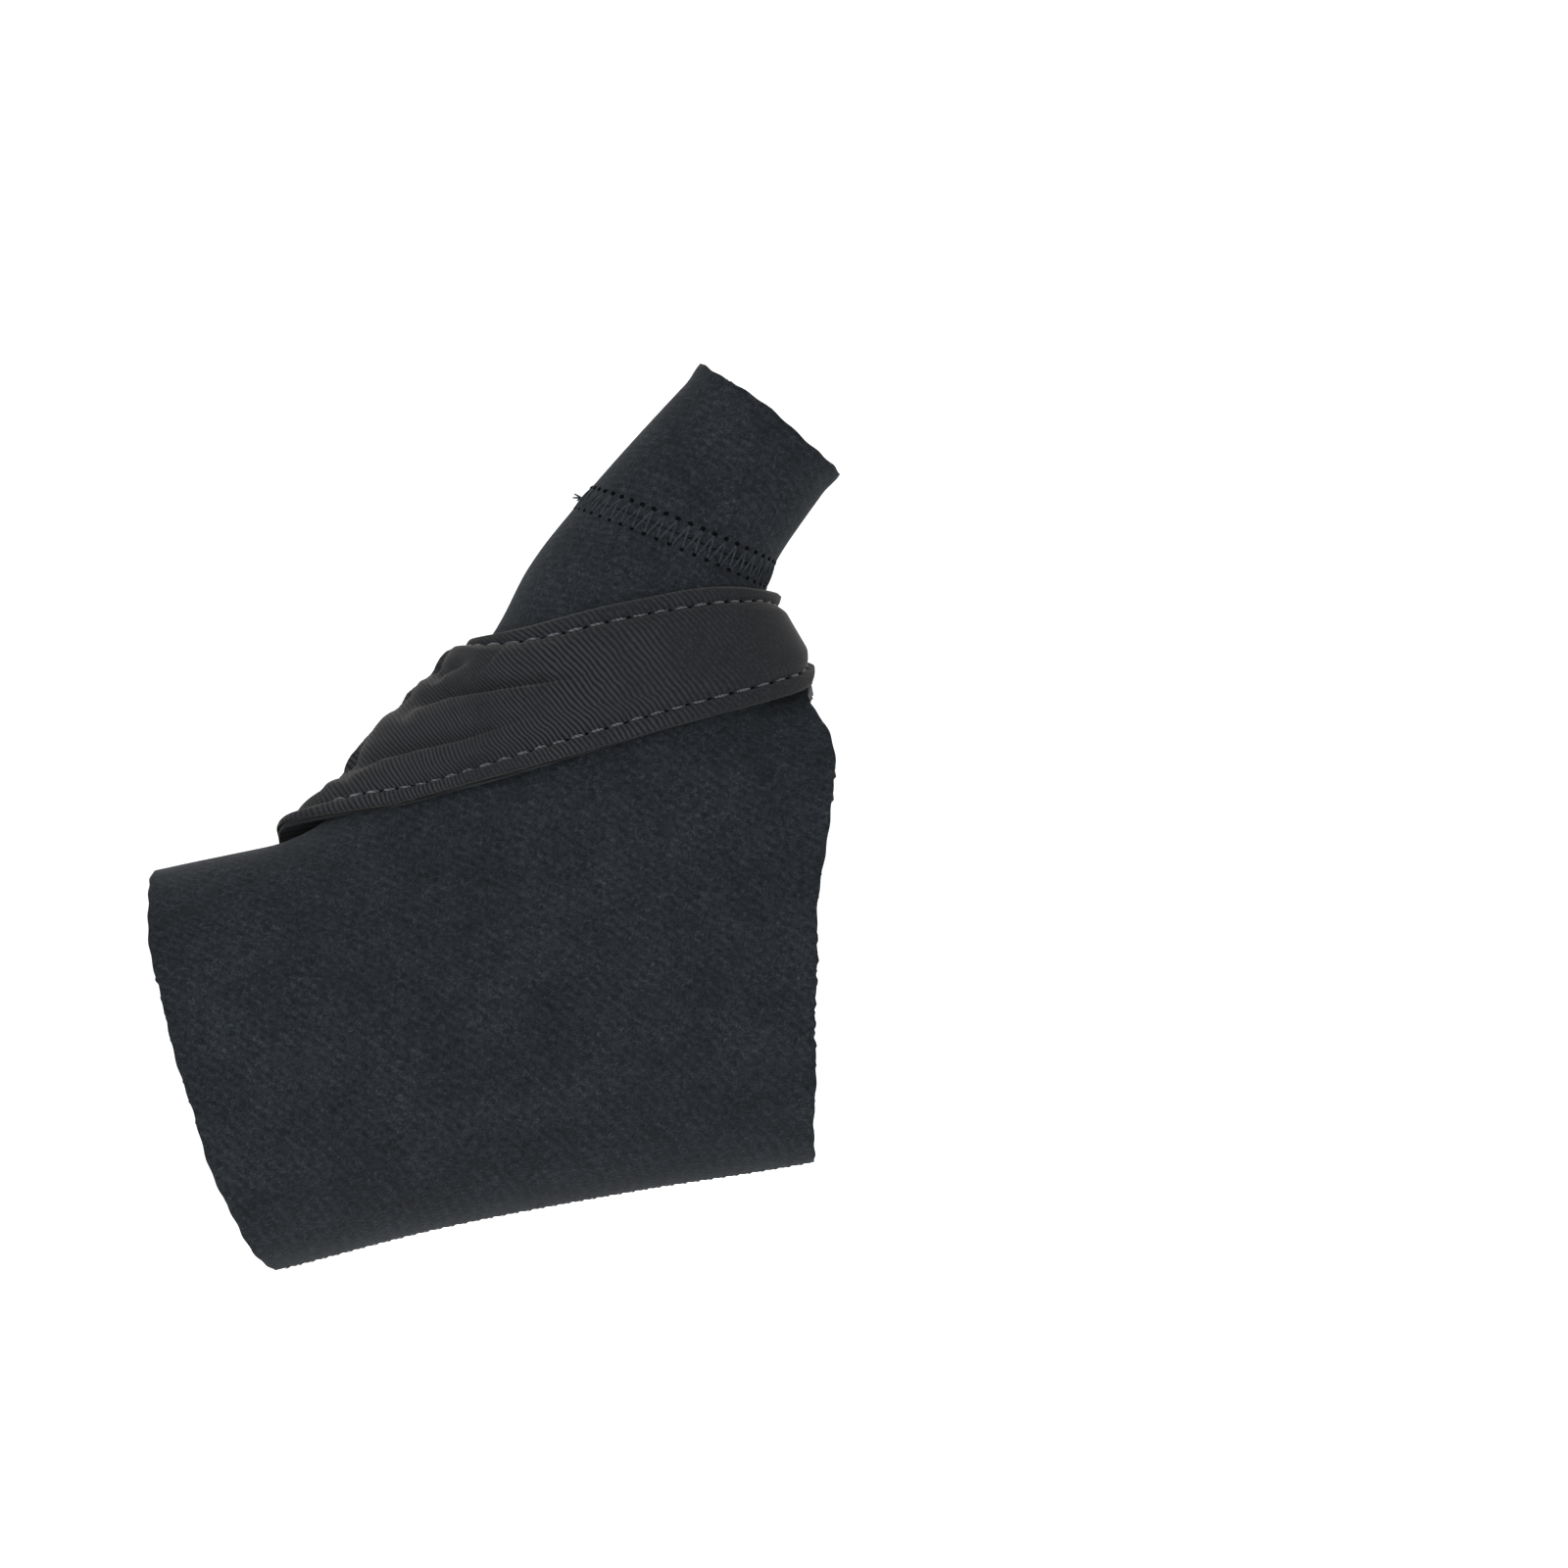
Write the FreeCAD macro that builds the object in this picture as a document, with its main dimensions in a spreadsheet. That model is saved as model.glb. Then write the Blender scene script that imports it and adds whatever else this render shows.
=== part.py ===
# Wrist and thumb support brace: a neoprene sleeve with a thumb tube and a wrap strap.
#
# Frame: the origin is the centre of the wrist opening. +X runs along the sleeve to the
# fingers, +Z is the thumb side and +Y is the back of the hand, so the palm faces -Y.
#
# Every panel is a laminate of face cloth, foam and lining. The brace is one hollow form,
# the sleeve joined to a thumb branch, which is built again at each layer's offset. A layer
# is the form at its outer offset less the form at its inner offset, cut by a panel outline.

import FreeCAD
import Part
import Sketcher
import math
import os
import re

SIZES = {
    # laminate of the sleeve, thumb base and thumb tube
    "face_cloth": 0.6,
    "foam": 1.8,
    "lining_cloth": 0.6,
    "bond": 0.1,
    "butt_gap": 0.15,
    # sleeve, from the wrist opening to the palm opening
    "wrist_width": 67.2,
    "wrist_depth": 49,
    "wrist_slant": 4.7,
    "sleeve_length": 91.1,
    "waist_narrowing": 0.8,
    "waist_depth_loss": 2,
    "waist_setback": 30,
    "waist_rise": 1.2,
    "heel_flare": 4.0,
    "heel_depth_loss": 3,
    "heel_offset": 31,
    "heel_rise": 0.6,
    "palm_flare": 8.8,
    "palm_depth_loss": 7,
    "palm_drop": 0.9,
    "palm_slant": 12.6,
    "overrun": 14,
    # thumb branch: offsets are from the radial edge of the wrist and the end of the sleeve
    "thumb_lean": 39.4,
    "thumb_rise": 35.1,
    "thumb_setback": 0.9,
    "seam_lean": 34.5,
    "seam_width": 32.6,
    "seam_depth": 30,
    "thumb_tube_length": 24.1,
    "thumb_tip_width": 27.7,
    "thumb_tip_depth": 26.4,
    "base_lean": 30.2,
    "base_setback": 6.9,
    "base_rise": 24.9,
    "base_width": 41.8,
    "base_depth": 36,
    "thenar_lean": 30.3,
    "thenar_setback": 12.4,
    "thenar_rise": 11.4,
    "thenar_width": 51.6,
    "thenar_depth": 40,
    "root_lean": 32.6,
    "root_setback": 26.1,
    "root_drop": 6.4,
    "root_width": 64,
    "root_depth": 37,
    "tail_lean": 30.8,
    "tail_setback": 49.1,
    "tail_drop": 22.1,
    "tail_width": 60.6,
    "tail_depth": 28,
    "tip_overrun": 8,
    "tip_overrun_taper": 1,
    # seam between the sleeve and the thumb base, hidden under the strap
    "gusset_seam_rise": 12.4,
    "gusset_seam_fall": 15.4,
    "gusset_seam_drop": 4,
    "gusset_low_setback": 64,
    "gusset_high_reach": 30,
    "gusset_overlap": 3,
    # strap as worn
    "strap_air": 0.45,
    "strap_backing_cloth": 0.5,
    "strap_foam": 1.9,
    "strap_face_cloth": 0.5,
    "strap_width": 25,
    "strap_palm_width": 21.8,
    "strap_mid_rise": 16.1,
    "strap_mid_setback": 9,
    "strap_turn_setback": 34,
    "strap_turn_low": 2.4,
    "strap_turn_high": 25.4,
    "strap_corner": 17.5,
    "strap_corner_rise": 0.4,
    "strap_corner_side_clear": 5.5,
    "strap_corner_top_clear": 9,
    "strap_turn_side_clear": 10,
    "strap_turn_top_clear": 6,
    "strap_web_low": 6.6,
    "strap_web_high": 22.4,
    "strap_web_reach": 16.1,
    "anchor_setback": 23,
    "anchor_rise": 6.4,
    "anchor_high_skew": 3,
    "anchor_low_skew": 4,
    "web_palm_flat": 8,
    "web_back_flat": 3,
    "web_back_step": 1,
    # free end of the strap, held by its hook patch
    "tab_setback": 20,
    "tab_root": 14,
    "tab_length": 40,
    "tab_corner": 6,
    "tab_shoulder": 12,
    "tab_shoulder_rise": 4,
    "tab_right_rise": 4,
    "tab_left_rise": 6,
    "tab_gap": 0.3,
    "hook_patch_thickness": 0.9,
    "hook_patch_margin": 2,
    "hook_patch_length": 32,
    # thread
    "thread": 0.3,
    "thread_lift": 0.05,
    "thread_width": 0.5,
    "stitch": 1.9,
    "stitch_pitch": 3.2,
    "flatlock_width": 3.8,
    "flatlock_pitch": 2.1,
    "edge_margin": 2.5,
}

doc = FreeCAD.newDocument("WristBrace")
sheet = doc.addObject("Spreadsheet::Sheet", "Sizes")
for row, (alias, number) in enumerate(SIZES.items(), start=1):
    sheet.set(f"A{row}", alias)
    sheet.set(f"B{row}", str(number))
    sheet.setAlias(f"B{row}", alias)
doc.recompute()

SHEET_WORD = re.compile(r"\b(" + "|".join(sorted(SIZES, key=len, reverse=True)) + r")\b")
BLOCK_DEPTH = 60.0
SKETCH_START_RADIUS = 50
SKETCH_START_DISTANCE = 10.0
UPRIGHT = FreeCAD.Rotation(FreeCAD.Vector(1, 0, 0), 90)


def size(alias):
    """One driving size as a number."""
    return float(sheet.get(alias))


def bind(thing, place, formula):
    """Tie a property to a formula written with the sheet's own words."""
    thing.setExpression(place, SHEET_WORD.sub(r"Sizes.\1", formula))


def add(kind, name):
    made = doc.addObject(kind, name)
    made.Label = name
    return made


# ---- the two hollow forms, at any offset from the face cloth's outer surface ----

RADIAL = "wrist_width / 2"
BOTTOM = "-wrist_width / 2"

# Each section is (centre x, centre z, width, depth, lean of its long axis in degrees).
SLEEVE_SECTIONS = [
    ("-overrun", "0", "wrist_width", "wrist_depth", "90"),
    ("0", "0", "wrist_width", "wrist_depth", "90"),
    ("waist_setback", f"{BOTTOM} + waist_rise + (wrist_width - waist_narrowing) / 2",
     "wrist_width - waist_narrowing", "wrist_depth - waist_depth_loss", "90"),
    ("sleeve_length - heel_offset", f"{BOTTOM} + heel_rise + (wrist_width + heel_flare) / 2",
     "wrist_width + heel_flare", "wrist_depth - heel_depth_loss", "90"),
    ("sleeve_length", f"{BOTTOM} - palm_drop + (wrist_width + palm_flare) / 2",
     "wrist_width + palm_flare", "wrist_depth - palm_depth_loss", "90"),
    ("sleeve_length + 2 * overrun", f"{BOTTOM} - palm_drop + (wrist_width + palm_flare) / 2",
     "wrist_width + palm_flare", "wrist_depth - palm_depth_loss", "90"),
]

TIP_X = "sleeve_length - thumb_setback + thumb_tube_length * cos(thumb_lean * 1deg)"
TIP_Z = f"{RADIAL} + thumb_rise + thumb_tube_length * sin(thumb_lean * 1deg)"
PAST_X = "sleeve_length - thumb_setback + (thumb_tube_length + tip_overrun) * cos(thumb_lean * 1deg)"
PAST_Z = f"{RADIAL} + thumb_rise + (thumb_tube_length + tip_overrun) * sin(thumb_lean * 1deg)"
THUMB_SECTIONS = [
    ("sleeve_length - tail_setback", f"{RADIAL} - tail_drop", "tail_width", "tail_depth", "tail_lean"),
    ("sleeve_length - root_setback", f"{RADIAL} - root_drop", "root_width", "root_depth", "root_lean"),
    ("sleeve_length - thenar_setback", f"{RADIAL} + thenar_rise", "thenar_width", "thenar_depth",
     "thenar_lean"),
    ("sleeve_length - base_setback", f"{RADIAL} + base_rise", "base_width", "base_depth", "base_lean"),
    ("sleeve_length - thumb_setback", f"{RADIAL} + thumb_rise", "seam_width", "seam_depth", "seam_lean"),
    (TIP_X, TIP_Z, "thumb_tip_width", "thumb_tip_depth", "90 - thumb_lean"),
    (PAST_X, PAST_Z, "thumb_tip_width - tip_overrun_taper", "thumb_tip_depth - tip_overrun_taper",
     "90 - thumb_lean"),
]


def tube_form(name, sections, offset):
    """A smooth solid through elliptical sections, each grown by the offset."""
    ellipses = []
    for number, (x, z, width, depth, lean) in enumerate(sections):
        ellipse = add("Part::Ellipse", f"{name}_section_{number}")
        turn = FreeCAD.Rotation(FreeCAD.Vector(0, 1, 0), 1)
        ellipse.Placement = FreeCAD.Placement(FreeCAD.Vector(0, 0, 0), turn)
        bind(ellipse, "MajorRadius", f"({width}) / 2 + ({offset})")
        bind(ellipse, "MinorRadius", f"({depth}) / 2 + ({offset})")
        bind(ellipse, "Placement.Base.x", x)
        bind(ellipse, "Placement.Base.z", z)
        bind(ellipse, "Placement.Rotation.Angle", f"({lean}) * 1deg")
        ellipses.append(ellipse)
    loft = add("Part::Loft", name)
    loft.Sections = ellipses
    loft.Solid = True
    loft.Ruled = False
    return loft


FORMS = {}


def whole_form(offset):
    """The sleeve form joined to the thumb form, made once for each offset."""
    if offset not in FORMS:
        number = len(FORMS)
        joined = add("Part::Fuse", f"form_{number}")
        joined.Base = tube_form(f"sleeve_form_{number}", SLEEVE_SECTIONS, offset)
        joined.Tool = tube_form(f"thumb_form_{number}", THUMB_SECTIONS, offset)
        FORMS[offset] = joined
    return FORMS[offset]


def boolean(kind, name, base, tool):
    made = add(f"Part::{kind}", name)
    made.Base = base
    made.Tool = tool
    return made


LAYERS = {}


def shell(outer, inner):
    """The skin between two offsets of the whole form."""
    if (outer, inner) not in LAYERS:
        name = f"skin_{len(LAYERS)}"
        LAYERS[outer, inner] = boolean("Cut", name, whole_form(outer), whole_form(inner))
    return LAYERS[outer, inner]


# ---- panel outlines: sketches in the XZ plane, extruded towards the palm and the back ----


def outline(name, points):
    """A closed sketch whose corners are formulas for x and z."""
    sketch = add("Sketcher::SketchObject", name)
    sketch.Placement = FreeCAD.Placement(FreeCAD.Vector(0, 0, 0), UPRIGHT)
    count = len(points)
    ring = []
    for corner in range(count):
        angle = 2 * math.pi * corner / count
        ring.append(FreeCAD.Vector(math.cos(angle), math.sin(angle), 0) * SKETCH_START_RADIUS)
    for corner in range(count):
        sketch.addGeometry(Part.LineSegment(ring[corner], ring[(corner + 1) % count]))
    for corner in range(count):
        sketch.addConstraint(Sketcher.Constraint("Coincident", corner, 2, (corner + 1) % count, 1))
    for corner, (x, z) in enumerate(points):
        for direction, formula in (("DistanceX", x), ("DistanceY", z)):
            drawn = Sketcher.Constraint(direction, -1, 1, corner, 1, SKETCH_START_DISTANCE)
            rule = sketch.addConstraint(drawn)
            bind(sketch, f"Constraints[{rule}]", formula)
    return sketch


def prism(name, sketch, palm_side, back_side):
    """The outline as a block that reaches towards the palm, the back, or both."""
    block = add("Part::Extrusion", name)
    block.Base = sketch
    block.DirMode = "Normal"
    block.LengthFwd = BLOCK_DEPTH * palm_side
    block.LengthRev = BLOCK_DEPTH * back_side
    block.Solid = True
    return block


SEAM_X = "sleeve_length - thumb_setback"
SEAM_Z = f"{RADIAL} + thumb_rise"


def along_thumb(across, along, origin_x=SEAM_X, origin_z=SEAM_Z, lean="seam_lean"):
    """A point set off from the thumb seam, across the thumb and along it towards the tip."""
    x = f"{origin_x} + ({across}) * cos({lean} * 1deg) + ({along}) * sin({lean} * 1deg)"
    z = f"{origin_z} - ({across}) * sin({lean} * 1deg) + ({along}) * cos({lean} * 1deg)"
    return x, z


def wrist_edge(z):
    """The slanted wrist opening's x at a height."""
    return f"-({z}) * tan(wrist_slant * 1deg)", z


def palm_edge(z):
    """The slanted palm opening's x at a height."""
    return f"sleeve_length + ({z} + wrist_width / 2) * tan(palm_slant * 1deg)", z


GUSSET_LOW = ("sleeve_length - gusset_low_setback", f"{RADIAL} + gusset_seam_rise - gusset_seam_drop")
GUSSET_HIGH = ("sleeve_length + gusset_high_reach", f"{RADIAL} + gusset_seam_fall")
GUSSET_LOW_OVER = (GUSSET_LOW[0], f"{GUSSET_LOW[1]} + butt_gap")
GUSSET_HIGH_OVER = (GUSSET_HIGH[0], f"{GUSSET_HIGH[1]} + butt_gap")

sleeve_outline = outline("sleeve_outline", [
    wrist_edge("-wrist_width"),
    palm_edge("-wrist_width"),
    palm_edge(f"{RADIAL} + strap_web_low + gusset_overlap"),
    GUSSET_HIGH,
    GUSSET_LOW,
    wrist_edge("wrist_width"),
])
gusset_outline = outline("thumb_base_outline", [
    GUSSET_LOW_OVER,
    GUSSET_HIGH_OVER,
    along_thumb("seam_width", "-butt_gap"),
    along_thumb("-seam_width", "-butt_gap"),
    (GUSSET_LOW[0], f"{RADIAL} + thumb_rise"),
])
tube_outline = outline("thumb_tube_outline", [
    along_thumb("-seam_width", "butt_gap"),
    along_thumb("seam_width", "butt_gap"),
    along_thumb("thumb_tip_width", "0", TIP_X, TIP_Z, "(90 - thumb_lean)"),
    along_thumb("-thumb_tip_width", "0", TIP_X, TIP_Z, "(90 - thumb_lean)"),
])

# The sleeve is cut flat and closed by one seam along the little-finger side.
closing_slit = add("Part::Box", "closing_slit")
bind(closing_slit, "Length", "sleeve_length + 4 * overrun")
bind(closing_slit, "Width", "2 * butt_gap")
bind(closing_slit, "Height", "wrist_width")
bind(closing_slit, "Placement.Base.x", "-2 * overrun")
bind(closing_slit, "Placement.Base.y", "-butt_gap")
bind(closing_slit, "Placement.Base.z", "-wrist_width - wrist_width / 4")

# The thumb tube is closed along the back of the thumb.
thumb_slit = add("Part::Box", "thumb_closing_slit")
thumb_turn = FreeCAD.Rotation(FreeCAD.Vector(0, 1, 0), 1)
thumb_slit.Placement = FreeCAD.Placement(FreeCAD.Vector(0, 0, 0), thumb_turn)
bind(thumb_slit, "Length", "2 * thumb_tube_length")
bind(thumb_slit, "Width", "seam_depth")
bind(thumb_slit, "Height", "2 * butt_gap")
bind(thumb_slit, "Placement.Base.x", f"{SEAM_X} - thumb_tube_length / 2 * cos(thumb_lean * 1deg)")
bind(thumb_slit, "Placement.Base.z", f"{SEAM_Z} - thumb_tube_length / 2 * sin(thumb_lean * 1deg)")
bind(thumb_slit, "Placement.Rotation.Angle", "-thumb_lean * 1deg")

REGIONS = {
    "sleeve": boolean("Cut", "sleeve_region", prism("sleeve_block", sleeve_outline, 1, 1), closing_slit),
    "thumb_base": prism("thumb_base_region", gusset_outline, 1, 1),
    "thumb_tube": boolean("Cut", "thumb_tube_region", prism("thumb_tube_block", tube_outline, 1, 1),
                          thumb_slit),
}

PARTS = {}


def keep(node, base, tool, kind="Common"):
    """A finished piece: the skin inside its region."""
    PARTS[node] = boolean(kind, node, base, tool)
    return PARTS[node]


FACE_IN = "-face_cloth"
FOAM_OUT = "-face_cloth - bond"
FOAM_IN = "-face_cloth - bond - foam"
LINING_OUT = "-face_cloth - 2 * bond - foam"
LINING_IN = "-face_cloth - 2 * bond - foam - lining_cloth"
LAMINATE = {
    "face_fabric": ("0", FACE_IN),
    "foam_core": (FOAM_OUT, FOAM_IN),
    "lining": (LINING_OUT, LINING_IN),
}
for panel, region in REGIONS.items():
    for layer, (outer, inner) in LAMINATE.items():
        keep(f"{panel}_{layer}", shell(outer, inner), region)

# ---- the strap: stitched behind the thumb web, round the palm and over the wrist ----

BACKING_IN = "strap_air"
BACKING_OUT = "strap_air + strap_backing_cloth"
STRAP_FOAM_IN = "strap_air + strap_backing_cloth + bond"
STRAP_FOAM_OUT = "strap_air + strap_backing_cloth + bond + strap_foam"
STRAP_FACE_IN = "strap_air + strap_backing_cloth + 2 * bond + strap_foam"
STRAP_FACE_OUT = f"{STRAP_FACE_IN} + strap_face_cloth"

MID = "sleeve_length - strap_mid_setback"
TURN = "sleeve_length - strap_turn_setback"
WEB = "sleeve_length + strap_web_reach"
CORNER = ("strap_corner", f"{RADIAL} + strap_corner_rise")
CORNER_CLEAR = (
    "strap_corner - strap_corner_side_clear",
    f"{RADIAL} + strap_corner_rise + strap_corner_top_clear",
)
TURN_CLEAR = (f"{TURN} - strap_turn_side_clear", f"{RADIAL} + strap_turn_high + strap_turn_top_clear")
TURN_HIGH = (TURN, f"{RADIAL} + strap_turn_high")

palm_strap = outline("palm_strap_outline", [
    CORNER,
    (TURN, f"{RADIAL} + strap_turn_low"),
    (MID, f"{RADIAL} + strap_mid_rise - strap_palm_width / 2"),
    (WEB, f"{RADIAL} + strap_web_low"),
    (WEB, f"{RADIAL} + strap_web_high"),
    (f"{WEB} - web_palm_flat", f"{RADIAL} + strap_web_high"),
    (MID, f"{RADIAL} + strap_mid_rise + strap_palm_width / 2"),
    TURN_HIGH,
    TURN_CLEAR,
    CORNER_CLEAR,
])
web_strap = outline("web_strap_outline", [
    (WEB, f"{RADIAL} + strap_web_low"),
    (WEB, f"{RADIAL} + strap_web_high"),
    (f"{WEB} - web_back_flat", f"{RADIAL} + strap_web_high"),
    ("sleeve_length - anchor_setback - anchor_high_skew", f"{RADIAL} + anchor_rise + strap_width / 2"),
    ("sleeve_length - anchor_setback + anchor_low_skew", f"{RADIAL} + anchor_rise - strap_width / 2"),
    (f"{WEB} - web_back_step", f"{RADIAL} + strap_web_low"),
])
TAB_LEFT = "tab_setback - strap_width / 2"
TAB_RIGHT = "tab_setback + strap_width / 2"
wrist_strap = outline("wrist_strap_outline", [
    CORNER,
    CORNER_CLEAR,
    TURN_CLEAR,
    TURN_HIGH,
    (f"{TAB_RIGHT} + tab_shoulder", f"{RADIAL} + tab_shoulder_rise"),
    (TAB_RIGHT, "tab_root + tab_right_rise"),
    (TAB_RIGHT, "tab_root"),
    (TAB_LEFT, "tab_root"),
    (TAB_LEFT, "tab_root + tab_left_rise"),
])
strap_back = boolean("Fuse", "strap_back_region", prism("web_strap_block", web_strap, 0, 1),
                     prism("wrist_strap_block", wrist_strap, 0, 1))
strap_region = boolean("Fuse", "strap_region", prism("palm_strap_block", palm_strap, 1, 0), strap_back)

STRAP = {
    "strap_backing": (BACKING_OUT, BACKING_IN),
    "strap_foam_core": (STRAP_FOAM_OUT, STRAP_FOAM_IN),
    "strap_face_fabric": (STRAP_FACE_OUT, STRAP_FACE_IN),
}
for node, (outer, inner) in STRAP.items():
    keep(node, shell(outer, inner), strap_region)


def rounded_block(name, left, right, top, bottom):
    """A block behind the wrist with its two free corners rounded."""
    block = add("Part::Box", f"{name}_block")
    bind(block, "Length", f"({right}) - ({left})")
    bind(block, "Height", f"({top}) - ({bottom})")
    bind(block, "Placement.Base.x", left)
    bind(block, "Placement.Base.z", bottom)
    block.Width = BLOCK_DEPTH
    doc.recompute()
    low = block.Shape.BoundBox.ZMin
    corners = []
    for number, edge in enumerate(block.Shape.Edges, start=1):
        ends = [vertex.Z for vertex in edge.Vertexes]
        upright = abs(edge.Vertexes[0].Y - edge.Vertexes[1].Y) > 1
        if upright and max(ends) < low + 1:
            corners.append((number, size("tab_corner"), size("tab_corner")))
    rounded = add("Part::Fillet", name)
    rounded.Base = block
    rounded.Edges = corners
    return rounded


TAB_TOP = "tab_root - tab_gap"
TAB_END = "tab_root - tab_length"
tab_region = rounded_block("tab_region", TAB_LEFT, TAB_RIGHT, TAB_TOP, TAB_END)
patch_region = rounded_block(
    "patch_region",
    f"{TAB_LEFT} + hook_patch_margin",
    f"{TAB_RIGHT} - hook_patch_margin",
    f"{TAB_END} + hook_patch_margin + hook_patch_length",
    f"{TAB_END} + hook_patch_margin",
)
PATCH_OUT = "strap_air + hook_patch_thickness"
TAB_BACKING_IN = f"{PATCH_OUT} + bond"
TAB_BACKING_OUT = f"{PATCH_OUT} + bond + strap_backing_cloth"
TAB = {
    "strap_end_backing": (TAB_BACKING_OUT, TAB_BACKING_IN, tab_region),
    "strap_end_foam_core": (STRAP_FOAM_OUT, f"{TAB_BACKING_OUT} + bond", tab_region),
    "strap_end_face_fabric": (STRAP_FACE_OUT, STRAP_FACE_IN, tab_region),
    "hook_patch": (PATCH_OUT, "strap_air", patch_region),
}
for node, (outer, inner, region) in TAB.items():
    keep(node, shell(outer, inner), region)

# ---- thread: each stitch is a short block that a thin skin over the cloth is cut with ----

doc.recompute()
PALM = -1
BACK = 1
FLATLOCK_LEAN = 70
CLOSING_LEAN = 20

# Each row's free length at its start and at its end, where it nears a corner or another row.
PALM_LOWER_GAPS = (9, 4)
WEB_LOWER_GAPS = (1, 9)
WRIST_LOWER_GAPS = (2, 4)
PALM_UPPER_GAPS = (2, 5)
WEB_UPPER_GAPS = (6, 1)
WRIST_UPPER_GAPS = (7, 2)
BOX_GAPS = (1, 1)
CROSS_GAPS = (3, 3)
TAB_SIDE_GAPS = (0, 4)
TAB_END_GAPS = (4, 4)
THUMB_SEAM_GAPS = (1.5, 1.5)
GUSSET_SEAM_GAPS = (30, 24)
CLOSING_START_GAP = 3
THUMB_CLOSING_GAPS = (3.5, 1)


def corner(sketch, number):
    """A corner of an outline as it stands after its formulas are worked out."""
    point = sketch.Geometry[number].StartPoint
    return FreeCAD.Vector(point.x, 0, point.y)


def needle(place, direction, side, length):
    """One stitch-long block through the cloth towards the palm or the back."""
    width = size("thread_width")
    depth = BLOCK_DEPTH
    block = Part.makeBox(length, depth, width, FreeCAD.Vector(-length / 2, 0, -width / 2))
    if side == PALM:
        block.translate(FreeCAD.Vector(0, -depth, 0))
    angle = -math.degrees(math.atan2(direction.z, direction.x))
    block.rotate(FreeCAD.Vector(0, 0, 0), FreeCAD.Vector(0, 1, 0), angle)
    block.translate(place)
    return block


def stitch_row(points, side, start_gap=0.0, end_gap=0.0):
    """Stitches end to end along a line of points, leaving a gap at each end."""
    pitch = size("stitch_pitch")
    wire = Part.makePolygon(points)
    reach = wire.Length - start_gap - end_gap
    count = max(2, int(reach / pitch))
    stitches = []
    for number in range(count):
        along = start_gap + reach * (number + 0.5) / count
        place, direction = point_along(points, along)
        stitches.append(needle(place, direction, side, size("stitch")))
    return stitches


def point_along(points, along):
    """The point and direction at a length along straight runs."""
    for first, second in zip(points, points[1:]):
        run = second - first
        if along <= run.Length:
            break
        along -= run.Length
    direction = FreeCAD.Vector(run).normalize()
    return first + direction * along, direction


def flatlock_row(points, side, start_gap=0.0, end_gap=0.0):
    """Slanted stitches that cross a butt seam from edge to edge."""
    pitch = size("flatlock_pitch")
    wire = Part.makePolygon(points)
    reach = wire.Length - start_gap - end_gap
    count = max(2, int(reach / pitch))
    lean = FreeCAD.Rotation(FreeCAD.Vector(0, 1, 0), FLATLOCK_LEAN)
    stitches = []
    for number in range(count):
        along = start_gap + reach * (number + 0.5) / count
        place, direction = point_along(points, along)
        stitches.append(needle(place, lean.multVec(direction), side, size("flatlock_width")))
    return stitches


def thread_node(node, blocks, base_offset):
    """The stitches as separate solids that lie on a surface of the brace."""
    cutter = add("Part::Feature", f"{node}_needles")
    cutter.Shape = Part.makeCompound(blocks)
    outer = f"{base_offset} + thread_lift + thread"
    inner = f"{base_offset} + thread_lift"
    keep(node, shell(outer, inner), cutter)


def inset(first, second, margin):
    """Both ends of a line, moved to its left by a margin."""
    run = second - first
    left = FreeCAD.Vector(-run.z, 0, run.x).normalize()
    return first + left * margin, second + left * margin


margin = size("edge_margin")
lower_palm = []
for start in range(0, 3):
    lower_palm.append(inset(corner(palm_strap, start), corner(palm_strap, start + 1), margin)[0])
lower_palm.append(inset(corner(palm_strap, 2), corner(palm_strap, 3), margin)[1])
upper_palm = []
for start in range(5, 7):
    upper_palm.append(inset(corner(palm_strap, start), corner(palm_strap, start + 1), margin)[0])
upper_palm.append(inset(corner(palm_strap, 6), corner(palm_strap, 7), margin)[1])
web_upper = inset(corner(web_strap, 2), corner(web_strap, 3), margin)
web_lower = inset(corner(web_strap, 4), corner(web_strap, 5), margin)
wrist_right = [inset(corner(wrist_strap, 3), corner(wrist_strap, 4), -margin)[0],
               inset(corner(wrist_strap, 4), corner(wrist_strap, 5), -margin)[0],
               inset(corner(wrist_strap, 5), corner(wrist_strap, 6), -margin)[1]]
wrist_left = [inset(corner(wrist_strap, 7), corner(wrist_strap, 8), -margin)[0],
              inset(corner(wrist_strap, 8), corner(wrist_strap, 0), -margin)[0],
              inset(corner(wrist_strap, 8), corner(wrist_strap, 0), -margin)[1]]

thread_node(
    "strap_lower_edge_thread",
    stitch_row(lower_palm, PALM, *PALM_LOWER_GAPS) + stitch_row(web_lower, BACK, *WEB_LOWER_GAPS)
    + stitch_row(wrist_left, BACK, *WRIST_LOWER_GAPS),
    STRAP_FACE_OUT,
)
thread_node(
    "strap_upper_edge_thread",
    stitch_row(upper_palm, PALM, *PALM_UPPER_GAPS) + stitch_row(web_upper, BACK, *WEB_UPPER_GAPS)
    + stitch_row(wrist_right, BACK, *WRIST_UPPER_GAPS),
    STRAP_FACE_OUT,
)

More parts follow.
